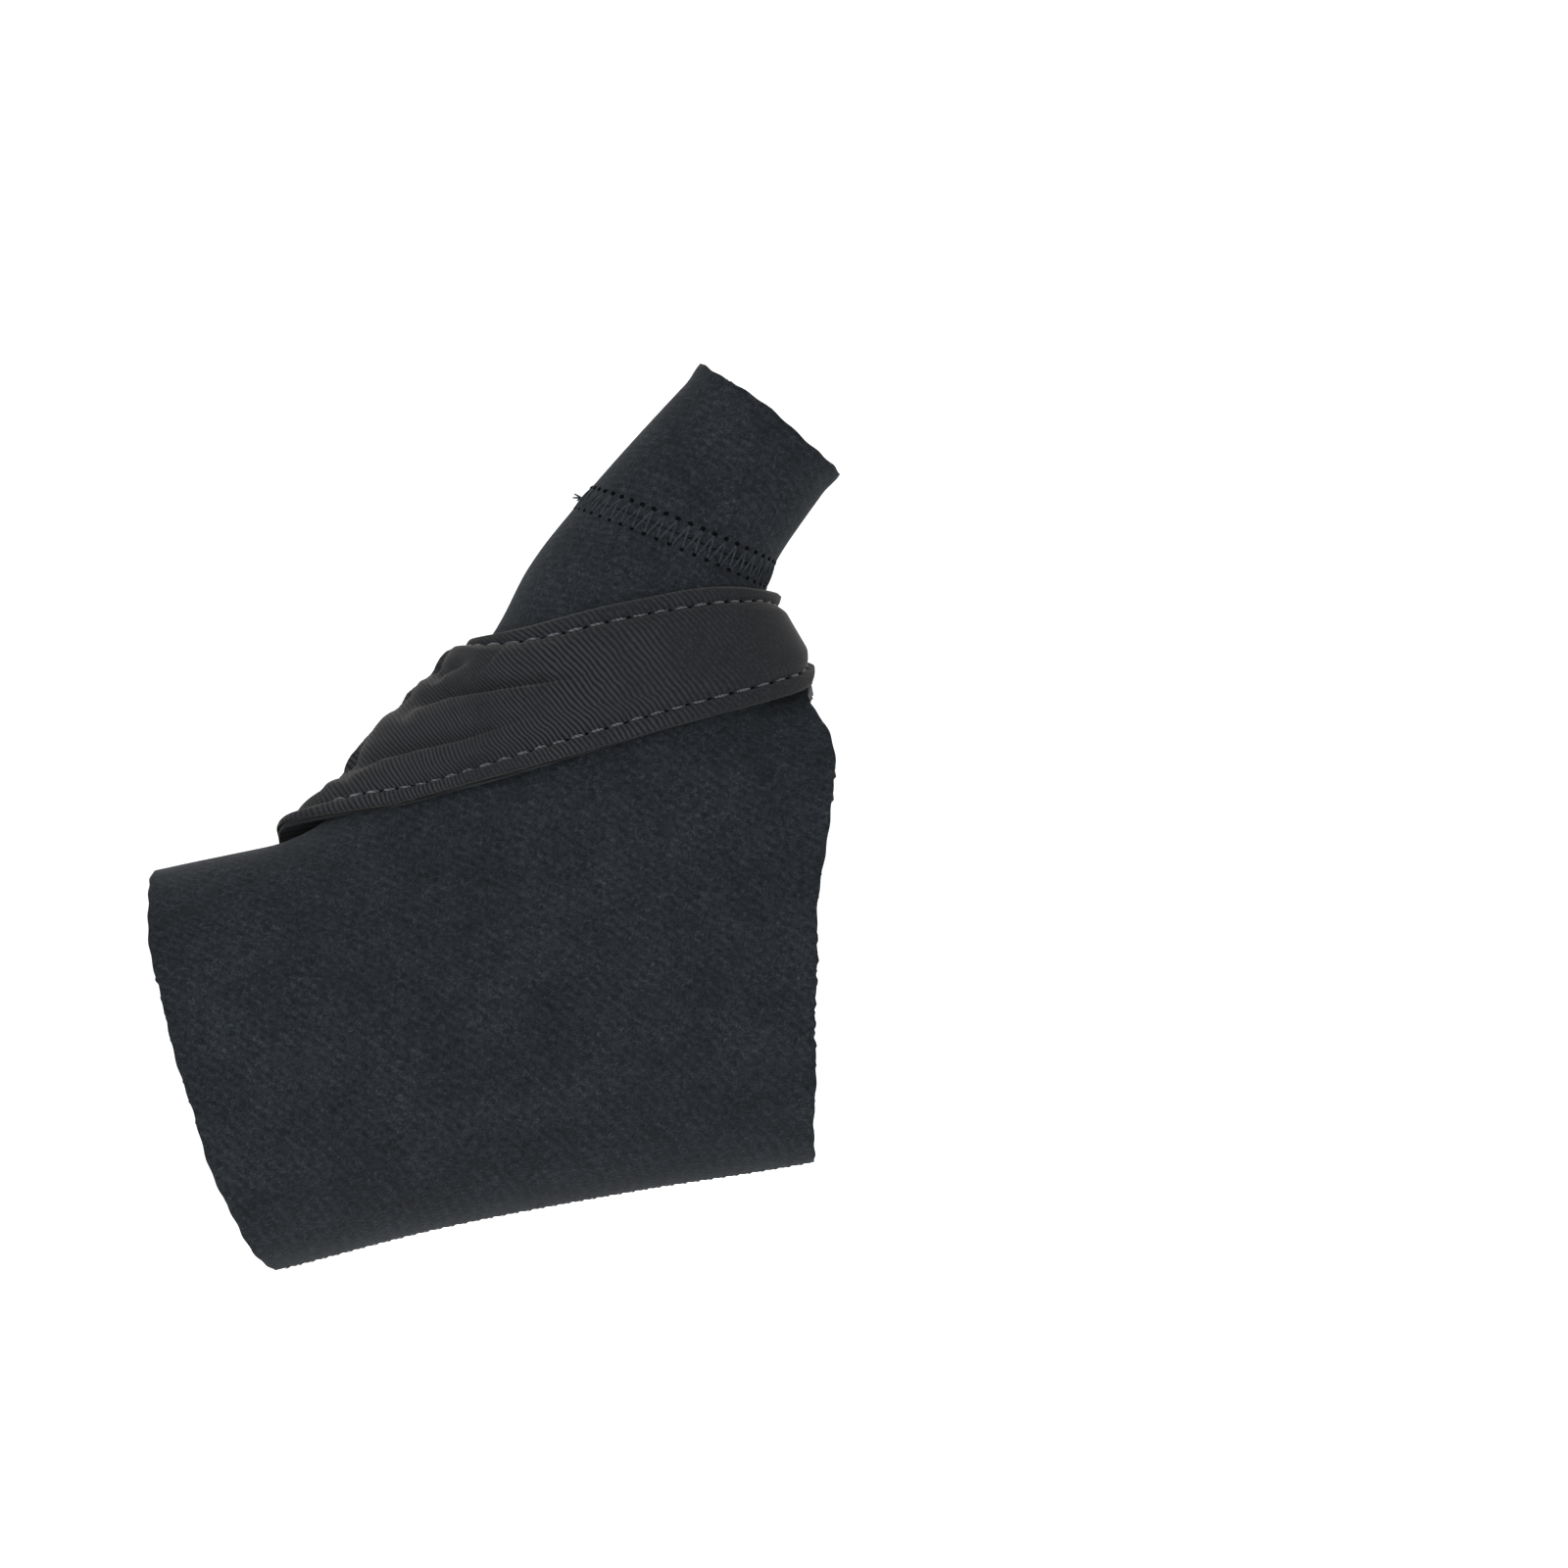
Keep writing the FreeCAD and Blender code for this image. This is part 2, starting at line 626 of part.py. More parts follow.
# The strap's sewn end has a box of stitches with a cross in it.
anchor_end = (corner(web_strap, 3) + corner(web_strap, 4)) * 0.5
anchor_run = ((corner(web_strap, 2) + corner(web_strap, 5)) * 0.5 - anchor_end).normalize()
anchor_side = FreeCAD.Vector(-anchor_run.z, 0, anchor_run.x)
box_half = size("strap_width") / 2 - 2 * margin
box_near = anchor_end + anchor_run * (margin + 1)
box_far = box_near + anchor_run * 2 * box_half
box_corners = [
    box_near - anchor_side * box_half,
    box_far - anchor_side * box_half,
    box_far + anchor_side * box_half,
    box_near + anchor_side * box_half,
]
box_stitches = []
for number in range(4):
    box_stitches += stitch_row([box_corners[number], box_corners[(number + 1) % 4]], BACK, *BOX_GAPS)
for number in range(2):
    box_stitches += stitch_row([box_corners[number], box_corners[number + 2]], BACK, *CROSS_GAPS)[::2]
thread_node("strap_anchor_thread", box_stitches, STRAP_FACE_OUT)

tab_left = size("tab_setback") - size("strap_width") / 2 + margin
tab_right = size("tab_setback") + size("strap_width") / 2 - margin
tab_top = size("tab_root") - size("tab_gap") - margin
tab_end = size("tab_root") - size("tab_length") + margin
tab_rows = []
for x in (tab_left, tab_right):
    side = [FreeCAD.Vector(x, 0, tab_top), FreeCAD.Vector(x, 0, tab_end)]
    tab_rows += stitch_row(side, BACK, *TAB_SIDE_GAPS)
for z in (tab_top, tab_end):
    ends = [FreeCAD.Vector(tab_left, 0, z), FreeCAD.Vector(tab_right, 0, z)]
    tab_rows += stitch_row(ends, BACK, *TAB_END_GAPS)
thread_node("hook_patch_thread", tab_rows, STRAP_FACE_OUT)

# Flatlock seams: round the thumb, between sleeve and thumb base, and along both closings.
seam_left = (corner(tube_outline, 0) * 3 + corner(tube_outline, 1)) * 0.25
seam_right = (corner(tube_outline, 0) + corner(tube_outline, 1) * 3) * 0.25
seam_line = [seam_left, seam_right]
thread_node(
    "thumb_seam_thread",
    flatlock_row(seam_line, PALM, *THUMB_SEAM_GAPS) + flatlock_row(seam_line, BACK, *THUMB_SEAM_GAPS),
    "0",
)
gusset_line = [corner(gusset_outline, 0), corner(gusset_outline, 1)]
thread_node(
    "thumb_base_seam_thread",
    flatlock_row(gusset_line, PALM, *GUSSET_SEAM_GAPS) + flatlock_row(gusset_line, BACK, *GUSSET_SEAM_GAPS),
    "0",
)


def upright_needles(start, end, across, length):
    """Slanted blocks standing up from the little-finger side, along the sleeve."""
    count = int((end - start) / size("flatlock_pitch"))
    width = size("thread_width")
    blocks = []
    for number in range(count):
        x = start + (end - start) * (number + 0.5) / count
        block = Part.makeBox(width, length, across, FreeCAD.Vector(-width / 2, -length / 2, -across))
        block.rotate(FreeCAD.Vector(0, 0, 0), FreeCAD.Vector(0, 0, 1), CLOSING_LEAN)
        block.translate(FreeCAD.Vector(x, 0, 0))
        blocks.append(block)
    return blocks


thread_node(
    "closing_seam_thread",
    upright_needles(
        margin + CLOSING_START_GAP, size("sleeve_length") - margin, BLOCK_DEPTH, size("flatlock_width")
    ),
    "0",
)
thumb_run = FreeCAD.Vector(math.cos(math.radians(size("thumb_lean"))), 0,
                           math.sin(math.radians(size("thumb_lean"))))
seam_centre = (seam_left + seam_right) * 0.5
thumb_line = [seam_centre, seam_centre + thumb_run * size("thumb_tube_length")]
thread_node("thumb_closing_seam_thread", flatlock_row(thumb_line, BACK, *THUMB_CLOSING_GAPS), "0")

# ---- check and write ----

doc.recompute()
os.makedirs("parts", exist_ok=True)
faults = []
for thing in doc.Objects:
    if "Invalid" in thing.State or "Error" in thing.State:
        faults.append(f"{thing.Name} is {thing.State}")
for node, thing in PARTS.items():
    if thing.Shape.isNull() or not thing.Shape.isValid() or not thing.Shape.Solids:
        faults.append(f"{node} has no valid solid")
if faults:
    raise RuntimeError("; ".join(faults))
for node, thing in PARTS.items():
    thing.Shape.exportStep(f"parts/{node}.step")
    box = thing.Shape.BoundBox
    print(
        f"{node:28s} solids {len(thing.Shape.Solids):3d} volume {thing.Shape.Volume:9.1f}"
        f"  x {box.XMin:6.1f} {box.XMax:6.1f}  y {box.YMin:6.1f} {box.YMax:6.1f}"
        f"  z {box.ZMin:6.1f} {box.ZMax:6.1f}"
    )
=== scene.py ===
# %% [markdown]
# # A wrist and thumb support in Blender
# The real brace is cut from sheets of neoprene laminate: a knitted face with a soft loop pile,
# a closed-cell foam and a thin jersey lining. Three panels make one hollow, branched shape: the
# sleeve, the thumb base and the thumb tube. A padded strap with a twill face is sewn behind the
# thumb web, crosses the root of the thumb and grips the back of the wrist with a hook patch.
# The frame from the CAD model says where everything is, so it is loaded first.

# %% Load the frame and keep the CAD box
import bpy
import bmesh
import math
import numpy as np
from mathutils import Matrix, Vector


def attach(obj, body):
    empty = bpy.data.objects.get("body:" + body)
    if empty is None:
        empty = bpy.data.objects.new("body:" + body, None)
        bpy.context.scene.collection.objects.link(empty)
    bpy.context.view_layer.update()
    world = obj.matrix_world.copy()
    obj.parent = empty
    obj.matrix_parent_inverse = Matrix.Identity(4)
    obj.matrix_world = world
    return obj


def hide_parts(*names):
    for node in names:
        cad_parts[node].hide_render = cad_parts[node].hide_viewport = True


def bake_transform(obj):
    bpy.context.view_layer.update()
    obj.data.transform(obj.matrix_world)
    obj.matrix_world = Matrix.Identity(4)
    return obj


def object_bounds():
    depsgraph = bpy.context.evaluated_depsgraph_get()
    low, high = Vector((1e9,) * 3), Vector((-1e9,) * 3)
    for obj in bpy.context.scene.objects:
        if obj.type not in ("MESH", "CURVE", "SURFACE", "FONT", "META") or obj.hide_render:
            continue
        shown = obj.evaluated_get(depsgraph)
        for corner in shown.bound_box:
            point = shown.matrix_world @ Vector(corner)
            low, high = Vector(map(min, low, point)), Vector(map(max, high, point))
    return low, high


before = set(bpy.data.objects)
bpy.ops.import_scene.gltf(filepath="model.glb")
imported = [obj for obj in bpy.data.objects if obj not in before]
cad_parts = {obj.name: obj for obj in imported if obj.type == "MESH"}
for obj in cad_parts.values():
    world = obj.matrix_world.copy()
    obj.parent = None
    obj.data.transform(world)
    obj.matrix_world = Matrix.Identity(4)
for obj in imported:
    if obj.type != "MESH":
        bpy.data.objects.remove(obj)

CAD_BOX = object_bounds()
MM = 0.001

# %% [markdown]
# ## Camera, light and floor
# The brace is seen square on to the palm, with the forearm tipped down to the left. The camera
# stands in front of the palm and is rolled by that tip, so the sleeve keeps to the frame's X axis.
# Soft light from all round suits black cloth: its form shows by the sheen of the pile, not by
# hard shadows. The floor is one pale bowl, wide enough to stand behind the camera too.

# %% Camera
TIP_OF_FOREARM = math.radians(12)
CAMERA_DISTANCE = 0.75
VIEW_WIDTH = 0.2528
SENSOR = 36.0
VIEW_CENTRE = Vector((98.9, 0, 26.1)) * MM

camera = bpy.data.objects.new("camera", bpy.data.cameras.new("camera"))
bpy.context.scene.collection.objects.link(camera)
camera.data.sensor_width = SENSOR
camera.data.lens = SENSOR * CAMERA_DISTANCE / VIEW_WIDTH
camera.location = VIEW_CENTRE - Vector((0, CAMERA_DISTANCE, 0))
camera.rotation_mode = "XYZ"
camera.rotation_euler = (math.pi / 2, TIP_OF_FOREARM, 0)
bpy.context.scene.camera = camera
print("lens", round(camera.data.lens, 1))


# %% A function for nodes, one for colours and one for new objects
def node(tree, kind, inputs=None, **settings):
    """Adds one shader node, sets it up and links it. Inputs are values or other nodes' outputs."""
    made = tree.nodes.new(kind)
    for name, value in settings.items():
        setattr(made, name, value)
    for name, value in (inputs or {}).items():
        socket = made.inputs[name]
        if isinstance(value, bpy.types.NodeSocket):
            tree.links.new(value, socket)
        else:
            socket.default_value = value
    return made


def linear(hex_colour):
    """An sRGB hex colour as linear red, green, blue and alpha."""
    channels = [int(hex_colour[place:place + 2], 16) / 255 for place in (1, 3, 5)]
    return tuple(c / 12.92 if c <= 0.04045 else ((c + 0.055) / 1.055) ** 2.4 for c in channels) + (1.0,)


def mesh_object(name, points, faces, material, smooth=True):
    """A new object from points in millimetres."""
    mesh = bpy.data.meshes.new(name)
    mesh.from_pydata((np.asarray(points) * MM).tolist(), [], [tuple(map(int, face)) for face in faces])
    mesh.polygons.foreach_set("use_smooth", [smooth] * len(mesh.polygons))
    mesh.materials.append(material)
    mesh.update()
    made = bpy.data.objects.new(name, mesh)
    bpy.context.scene.collection.objects.link(made)
    return made


# %% Floor and lights
FLOOR_DROP = 0.09
BOWL_FLAT = 1.6
BOWL_WALL = 1.6
BOWL_CORNER = 0.9

floor_paint = bpy.data.materials.new("matt white sweep")
floor_paint.use_nodes = True
floor_shader = floor_paint.node_tree.nodes["Principled BSDF"]
floor_shader.inputs["Base Color"].default_value = linear("#fafafa")
floor_shader.inputs["Roughness"].default_value = 0.9
floor_shader.inputs["Specular IOR Level"].default_value = 0.1
floor_shader.inputs["Emission Color"].default_value = (1, 1, 1, 1)
floor_shader.inputs["Emission Strength"].default_value = 0.15


def bowl_profile():
    """Radius and height of the sweep: flat, a round corner, then a wall."""
    floor_height = CAD_BOX[0][2] - FLOOR_DROP
    profile = [(0.0, floor_height), (BOWL_FLAT, floor_height)]
    for step in range(1, 13):
        angle = math.pi / 2 * step / 12
        profile.append((BOWL_FLAT + BOWL_CORNER * math.sin(angle),
                        floor_height + BOWL_CORNER * (1 - math.cos(angle))))
    profile.append((BOWL_FLAT + BOWL_CORNER, floor_height + BOWL_CORNER + BOWL_WALL))
    return profile


def ring_faces(rings, around):
    """Faces between closed rings of points, each with the same number of points."""
    faces = []
    for ring in range(rings - 1):
        for step in range(around):
            after = (step + 1) % around
            faces.append((ring * around + step, ring * around + after,
                          (ring + 1) * around + after, (ring + 1) * around + step))
    return faces


def build_bowl():
    around = 96
    profile = bowl_profile()
    points = []
    for radius, height in profile:
        for step in range(around):
            angle = 2 * math.pi * step / around
            points.append((radius * math.cos(angle) / MM, radius * math.sin(angle) / MM, height / MM))
    return mesh_object("floor", points, ring_faces(len(profile), around), floor_paint)


build_bowl()


def soft_light(name, place, aim, width, power):
    """A square soft box that points at the brace."""
    light = bpy.data.objects.new(name, bpy.data.lights.new(name, "AREA"))
    light.data.size = width
    light.data.energy = power
    light.location = place
    light.rotation_euler = (Vector(aim) - Vector(place)).to_track_quat("-Z", "Y").to_euler()
    bpy.context.scene.collection.objects.link(light)


AIM = (0.06, 0, 0.03)
soft_light("key", (-0.5, -1.0, 0.25), AIM, 0.8, 9)
soft_light("fill", (0.5, -1.0, 0.0), AIM, 0.8, 5)
soft_light("back", (0.3, 1.2, 0.5), AIM, 1.0, 10)
world = bpy.data.worlds.new("studio")
bpy.context.scene.world = world
world.use_nodes = True
world.node_tree.nodes["Background"].inputs["Color"].default_value = (1, 1, 1, 1)
world.node_tree.nodes["Background"].inputs["Strength"].default_value = 0.85
bpy.context.scene.view_settings.view_transform = "Standard"
print("floor height", round(bowl_profile()[0][1], 3))

# %% [markdown]
# ## Cloth, foam, tape and thread
# Each finish starts from the real material. Cloth is a dielectric with an index near 1.5 and a high
# roughness, and its pile catches light at grazing angles, which is what the sheen sockets do.
# Patterns are scaled in millimetres: object space is in metres, so it is multiplied by 1000 first.


# %% Shared steps of a cloth material
def new_material(name):
    material = bpy.data.materials.new(name)
    material.use_nodes = True
    return material, material.node_tree, material.node_tree.nodes["Principled BSDF"]


def paint(tree, shader, factor, stops):
    """Colours a shader by a ramp."""
    tree.links.new(ramp(tree, factor, stops), shader.inputs["Base Color"])


def relief(tree, shader, height, strength, distance):
    """Raises a pattern by a bump, with its full height as a distance in metres."""
    bump = node(tree, "ShaderNodeBump", {"Height": height, "Strength": strength, "Distance": distance})
    tree.links.new(bump.outputs["Normal"], shader.inputs["Normal"])


def noise(tree, scale, **settings):
    """Noise over object space in millimetres. Settings are other inputs, such as Detail."""
    inputs = {"Vector": millimetres(tree), "Scale": scale, **settings}
    return node(tree, "ShaderNodeTexNoise", inputs).outputs["Fac"]


def waves(tree, scale, direction, stretch=(1, 1, 1), **settings):
    """Bands over object space in millimetres."""
    inputs = {"Vector": millimetres(tree, stretch), "Scale": scale, **settings}
    return node(tree, "ShaderNodeTexWave", inputs, bands_direction=direction).outputs["Fac"]


def fade(tree, value, start, end, low=0.0, high=1.0):
    """Maps a value's range to another, held at its ends."""
    return node(tree, "ShaderNodeMapRange", {"Value": value, "From Min": start, "From Max": end,
                                             "To Min": low, "To Max": high}).outputs[0]


def millimetres(tree, stretch=(1, 1, 1)):
    """Object space in millimetres, stretched where a pattern runs one way."""
    place = node(tree, "ShaderNodeTexCoord")
    scale = [1000 * part for part in stretch]
    scaled = node(tree, "ShaderNodeVectorMath", {0: place.outputs["Object"], 1: scale}, operation="MULTIPLY")
    return scaled.outputs[0]


def ramp(tree, factor, stops):
    """A colour ramp through (position, hex colour) stops."""
    made = node(tree, "ShaderNodeValToRGB", {"Fac": factor})
    made.color_ramp.elements[0].position = stops[0][0]
    made.color_ramp.elements[0].color = linear(stops[0][1])
    made.color_ramp.elements[1].position = stops[-1][0]
    made.color_ramp.elements[1].color = linear(stops[-1][1])
    for position, colour in stops[1:-1]:
        made.color_ramp.elements.new(position).color = linear(colour)
    return made.outputs["Color"]


def mix(tree, factor, first, second, blend="MIX"):
    made = node(tree, "ShaderNodeMix", data_type="RGBA", blend_type=blend)
    for place, value in ((0, factor), (6, first), (7, second)):
        if isinstance(value, bpy.types.NodeSocket):
            tree.links.new(value, made.inputs[place])
        else:
            made.inputs[place].default_value = value
    return made.outputs[2]


def math_node(tree, operation, first, second=0.0):
    return node(tree, "ShaderNodeMath", {0: first, 1: second}, operation=operation).outputs[0]


def uniform(shader, **values):
    """Sets plain values on a shader's sockets. A socket's spaces are written as underscores."""
    for name, value in values.items():
        shader.inputs[name.replace("_", " ")].default_value = value


def cloth_shader(shader, sheen, sheen_colour, roughness):
    """The values that all cloths and threads share."""
    uniform(shader, IOR=1.5, Specular_IOR_Level=0.15, Roughness=roughness, Sheen_Weight=sheen,
            Sheen_Roughness=0.45, Sheen_Tint=linear(sheen_colour))


# %% [markdown]
# The face is nylon knit with its pile brushed into short loops, dyed slate black. Loops stand
# about 0.5 mm apart and lean every way, so the cloth reads as fine mottled felt: darker where the
# eye sees between loops, lighter on their crowns. Larger soft patches come from the nap.

# %% Loop-pile knit
def loop_pile_knit():
    material, tree, shader = new_material("brushed loop-pile nylon knit")
    loops = noise(tree, 1.35, Detail=3.0, Roughness=0.7, Distortion=0.9)
    fibres = noise(tree, 3.6, Detail=2.0, Roughness=0.6)
    patches = noise(tree, 0.11, Detail=2.0)
    wales = waves(tree, 0.4, "DIAGONAL", (0.8, 0.5, 0.8), Distortion=3.0, Detail=2.0,
                  **{"Detail Scale": 1.6})
    weave = mix(tree, 0.07, loops, wales)
    fine = mix(tree, 0.35, weave, fibres)
    loop_colours = [(0.33, "#06080a"), (0.45, "#111417"), (0.56, "#1c2024"), (0.71, "#2f3439")]
    colour = ramp(tree, fine, loop_colours)
    shade = ramp(tree, patches, [(0.35, "#d2d2d4"), (0.65, "#ffffff")])
    tinted = mix(tree, 0.7, colour, shade, "MULTIPLY")
    tree.links.new(tinted, shader.inputs["Base Color"])
    relief(tree, shader, fine, 0.6, 0.0005)
    cloth_shader(shader, 0.08, "#8d9298", 1.0)
    return material


# %% [markdown]
# The lining is a smooth jersey of fine nylon yarn. Its wales are too fine to show at 0.3 mm, so they
# are drawn at 0.6 mm. The foam is chloroprene rubber blown with closed cells: matt, almost black,
# with a fine grain where it is cut.

# %% Jersey lining and neoprene foam
def jersey_lining():
    material, tree, shader = new_material("nylon jersey lining")
    wales = waves(tree, 0.5, "Z", Distortion=1.2, Detail=2.0)
    knit = mix(tree, 0.5, wales, noise(tree, 2.4, Detail=3.0))
    paint(tree, shader, knit, [(0.25, "#0a0b0c"), (0.8, "#1a1c1f")])
    relief(tree, shader, knit, 0.4, 0.0002)
    cloth_shader(shader, 0.12, "#7f8388", 0.9)
    return material


def neoprene_foam():
    material, tree, shader = new_material("closed-cell neoprene foam")
    cells = node(tree, "ShaderNodeTexVoronoi", {"Vector": millimetres(tree), "Scale": 3.2})
    cells = cells.outputs["Distance"]
    paint(tree, shader, cells, [(0.05, "#0b0b0c"), (0.6, "#1b1c1e")])
    relief(tree, shader, cells, 0.5, 0.0002)
    uniform(shader, IOR=1.55, Roughness=0.8, Specular_IOR_Level=0.3)
    return material


# %% [markdown]
# The strap's face is a stretch twill. A twill is woven so that each float steps sideways by one warp
# thread, which leaves a diagonal rib. Ribs here are 0.78 mm apart and cross the strap at a steep angle.
# The strap's mesh has a UV map in millimetres, along and across it, so the ribs turn with the strap.

# %% Ribbed twill
RIB_PITCH = 0.78
RIB_ACROSS_STRAP = math.radians(63)
RIBS_FADE = (60.0, 94.0)


def ribbed_twill():
    material, tree, shader = new_material("stretch polyester twill")
    unrolled = node(tree, "ShaderNodeUVMap", uv_map="strap_mm").outputs[0]
    place = node(tree, "ShaderNodeSeparateXYZ", {0: unrolled})
    sway = math_node(tree, "MULTIPLY", noise(tree, 0.3, Detail=1.0), 0.7)
    along = math_node(tree, "MULTIPLY", place.outputs["X"], math.sin(RIB_ACROSS_STRAP))
    across = math_node(tree, "MULTIPLY", place.outputs["Y"], -math.cos(RIB_ACROSS_STRAP))
    across_ribs = math_node(tree, "ADD", math_node(tree, "ADD", along, across), sway)
    turns = math_node(tree, "MULTIPLY", across_ribs, 2 * math.pi / RIB_PITCH)
    rib = fade(tree, math_node(tree, "SINE", turns), -1.0, 0.5)
    grain = noise(tree, 2.2, Detail=3.0, Roughness=0.65)
    worn = fade(tree, noise(tree, 0.08, Detail=1.0), 0.36, 0.56, 0.3, 0.95)
    fresh = fade(tree, place.outputs["X"], *RIBS_FADE, 0.12, 0.9)
    weave = mix(tree, math_node(tree, "MULTIPLY", worn, fresh), grain, rib)
    paint(tree, shader, weave, [(0.1, "#040506"), (0.5, "#131518"), (0.85, "#232528")])
    relief(tree, shader, weave, 0.5, 0.0002)
    cloth_shader(shader, 0.14, "#a09c94", 0.95)
    return material


# %% [markdown]
# Thread is spun polyester, three plies twisted about once a millimetre, a shade lighter than the
# cloth. The hook tape is nylon, moulded into rows of hooks about 0.8 mm apart, with a dull shine.

# %% Thread, painted shade of needle holes, and hook tape
def sewing_thread():
    material, tree, shader = new_material("spun polyester thread")
    twist = waves(tree, 0.9, "DIAGONAL", Distortion=0.4)
    paint(tree, shader, twist, [(0.1, "#292c30"), (0.9, "#515559")])
    relief(tree, shader, twist, 0.5, 0.00015)
    cloth_shader(shader, 0.3, "#b0b3b6", 0.6)
    return material


def seam_thread():
    """The flatlock's textured thread is softer and darker than the lockstitch thread."""
    material, tree, shader = new_material("textured nylon overlock thread")
    fluff = noise(tree, 3.0, Detail=2.0)
    paint(tree, shader, fluff, [(0.3, "#0f1113"), (0.75, "#2a2e33")])
    relief(tree, shader, fluff, 0.5, 0.0002)
    cloth_shader(shader, 0.3, "#8d9298", 0.85)
    return material


def needle_hole_painted_shade():
    """Painted shade: the inside of a needle hole is coloured near-black, standing in for the shadow a real
    hole holds.
    """
    material, tree, shader = new_material("painted shade in a needle hole")
    paint(tree, shader, noise(tree, 5.0), [(0.3, "#050506"), (0.8, "#0c0c0d")])
    uniform(shader, Roughness=1.0, Specular_IOR_Level=0.0)
    return material


def hook_tape():
    material, tree, shader = new_material("moulded nylon hook tape")
    grain = noise(tree, 2.5, Detail=2.0)
    paint(tree, shader, grain, [(0.3, "#0e0f10"), (0.8, "#1d1f21")])
    relief(tree, shader, grain, 0.3, 0.0002)
    uniform(shader, IOR=1.53, Specular_IOR_Level=0.2, Roughness=0.7)
    return material


KNIT = loop_pile_knit()
LINING = jersey_lining()
FOAM = neoprene_foam()
TWILL = ribbed_twill()
THREAD = sewing_thread()
SEAM_THREAD = seam_thread()
# Painted shade for the needle holes, put on small dark beads.
PAINTED_HOLE_SHADE = needle_hole_painted_shade()
HOOKS = hook_tape()
print("materials", len(bpy.data.materials))

# %% [markdown]
# ## One smooth, branched form
# A worn sleeve has no crease where the thumb branches off: the cloth stretches over the ball of the
# thumb. Two tubes joined by a boolean would show a hard line there. Here both tubes are written
# as distance functions through a few elliptical sections, and a smooth minimum melts them together.
# The distance then serves for everything: finding the surface, its normals, and any offset from it.

# %% Sections of the sleeve and of the thumb, in millimetres
WRIST_SLANT = math.radians(4.7)
PALM_SLANT = math.radians(12.6)
SLEEVE_END = 91.1
ULNAR_EDGE = -33.6
SLEEVE_STATIONS = np.array([
    # x, centre z, width, depth
    (-14, 0.0, 67.2, 49.0),
    (0, 0.0, 67.2, 49.0),
    (30, 0.8, 66.4, 47.0),
    (60.1, 2.6, 71.2, 46.0),
    (91.1, 3.5, 76.0, 42.0),
    (119, 3.5, 76.0, 42.0),
])
SEAM = np.array((90.2, 68.7))
THUMB_LEAN = math.radians(39.4)
TUBE_LENGTH = 24.1
THUMB_RUN = np.array((math.cos(THUMB_LEAN), math.sin(THUMB_LEAN)))
TIP = SEAM + THUMB_RUN * TUBE_LENGTH
PAST = SEAM + THUMB_RUN * (TUBE_LENGTH + 8)
THUMB_STATIONS = np.array([
    # centre x, centre z, width, depth, lean of the section in degrees
    (42.0, 11.5, 60.6, 28.0, 30.8),
    (65.0, 27.2, 64.0, 37.0, 32.6),
    (78.7, 45.0, 51.6, 40.0, 30.3),
    (84.2, 58.5, 41.8, 36.0, 30.2),
    (SEAM[0], SEAM[1], 32.6, 30.0, 34.5),
    (TIP[0], TIP[1], 27.7, 26.4, 50.6),
    (PAST[0], PAST[1], 27.4, 26.0, 50.6),
])
MELT = 6.0
HALVINGS = 18
NO_THUMB_BELOW = 0.0
FAR = 99.0


def spline(stations, values, at):
    """A smooth curve through values at stations: cubic pieces with averaged slopes."""
    stations = np.asarray(stations, float)
    values = np.asarray(values, float)
    chords = np.diff(values) / np.diff(stations)
    slopes = np.concatenate(([chords[0]], (chords[:-1] + chords[1:]) / 2, [chords[-1]]))
    at = np.clip(at, stations[0], stations[-1])
    piece = np.clip(np.searchsorted(stations, at) - 1, 0, len(stations) - 2)
    gap = stations[piece + 1] - stations[piece]
    t = (at - stations[piece]) / gap
    first = (2 * t ** 3 - 3 * t ** 2 + 1) * values[piece]
    first += (t ** 3 - 2 * t ** 2 + t) * gap * slopes[piece]
    second = (3 * t ** 2 - 2 * t ** 3) * values[piece + 1]
    second += (t ** 3 - t ** 2) * gap * slopes[piece + 1]
    return first + second


def ellipse_distance(across, depth, half_width, half_depth):
    """Roughly how far a point is outside an ellipse."""
    ratio = np.sqrt((across / half_width) ** 2 + (depth / half_depth) ** 2) + 1e-9
    slope = np.sqrt((across / half_width ** 2) ** 2 + (depth / half_depth ** 2) ** 2) + 1e-9
    return ratio * (ratio - 1) / slope


def sleeve_section(x):
    """Centre height, width and depth of the sleeve at places along it."""
    return [spline(SLEEVE_STATIONS[:, 0], SLEEVE_STATIONS[:, part], x) for part in (1, 2, 3)]


def sleeve_distance(points):
    x = points[:, 0]
    centre, width, depth = sleeve_section(x)
    return ellipse_distance(points[:, 2] - centre, points[:, 1], width / 2, depth / 2)


def thumb_parts(s, parts):
    """Chosen columns of the thumb's sections at a station number, whole or not."""
    numbers = np.arange(len(THUMB_STATIONS))
    return [spline(numbers, THUMB_STATIONS[:, part], s) for part in parts]


def thumb_section(s):
    """Centre, size and lean of the thumb's section at a station number."""
    x, z, width, depth, lean = thumb_parts(s, range(5))
    return x, z, width, depth, np.radians(lean)


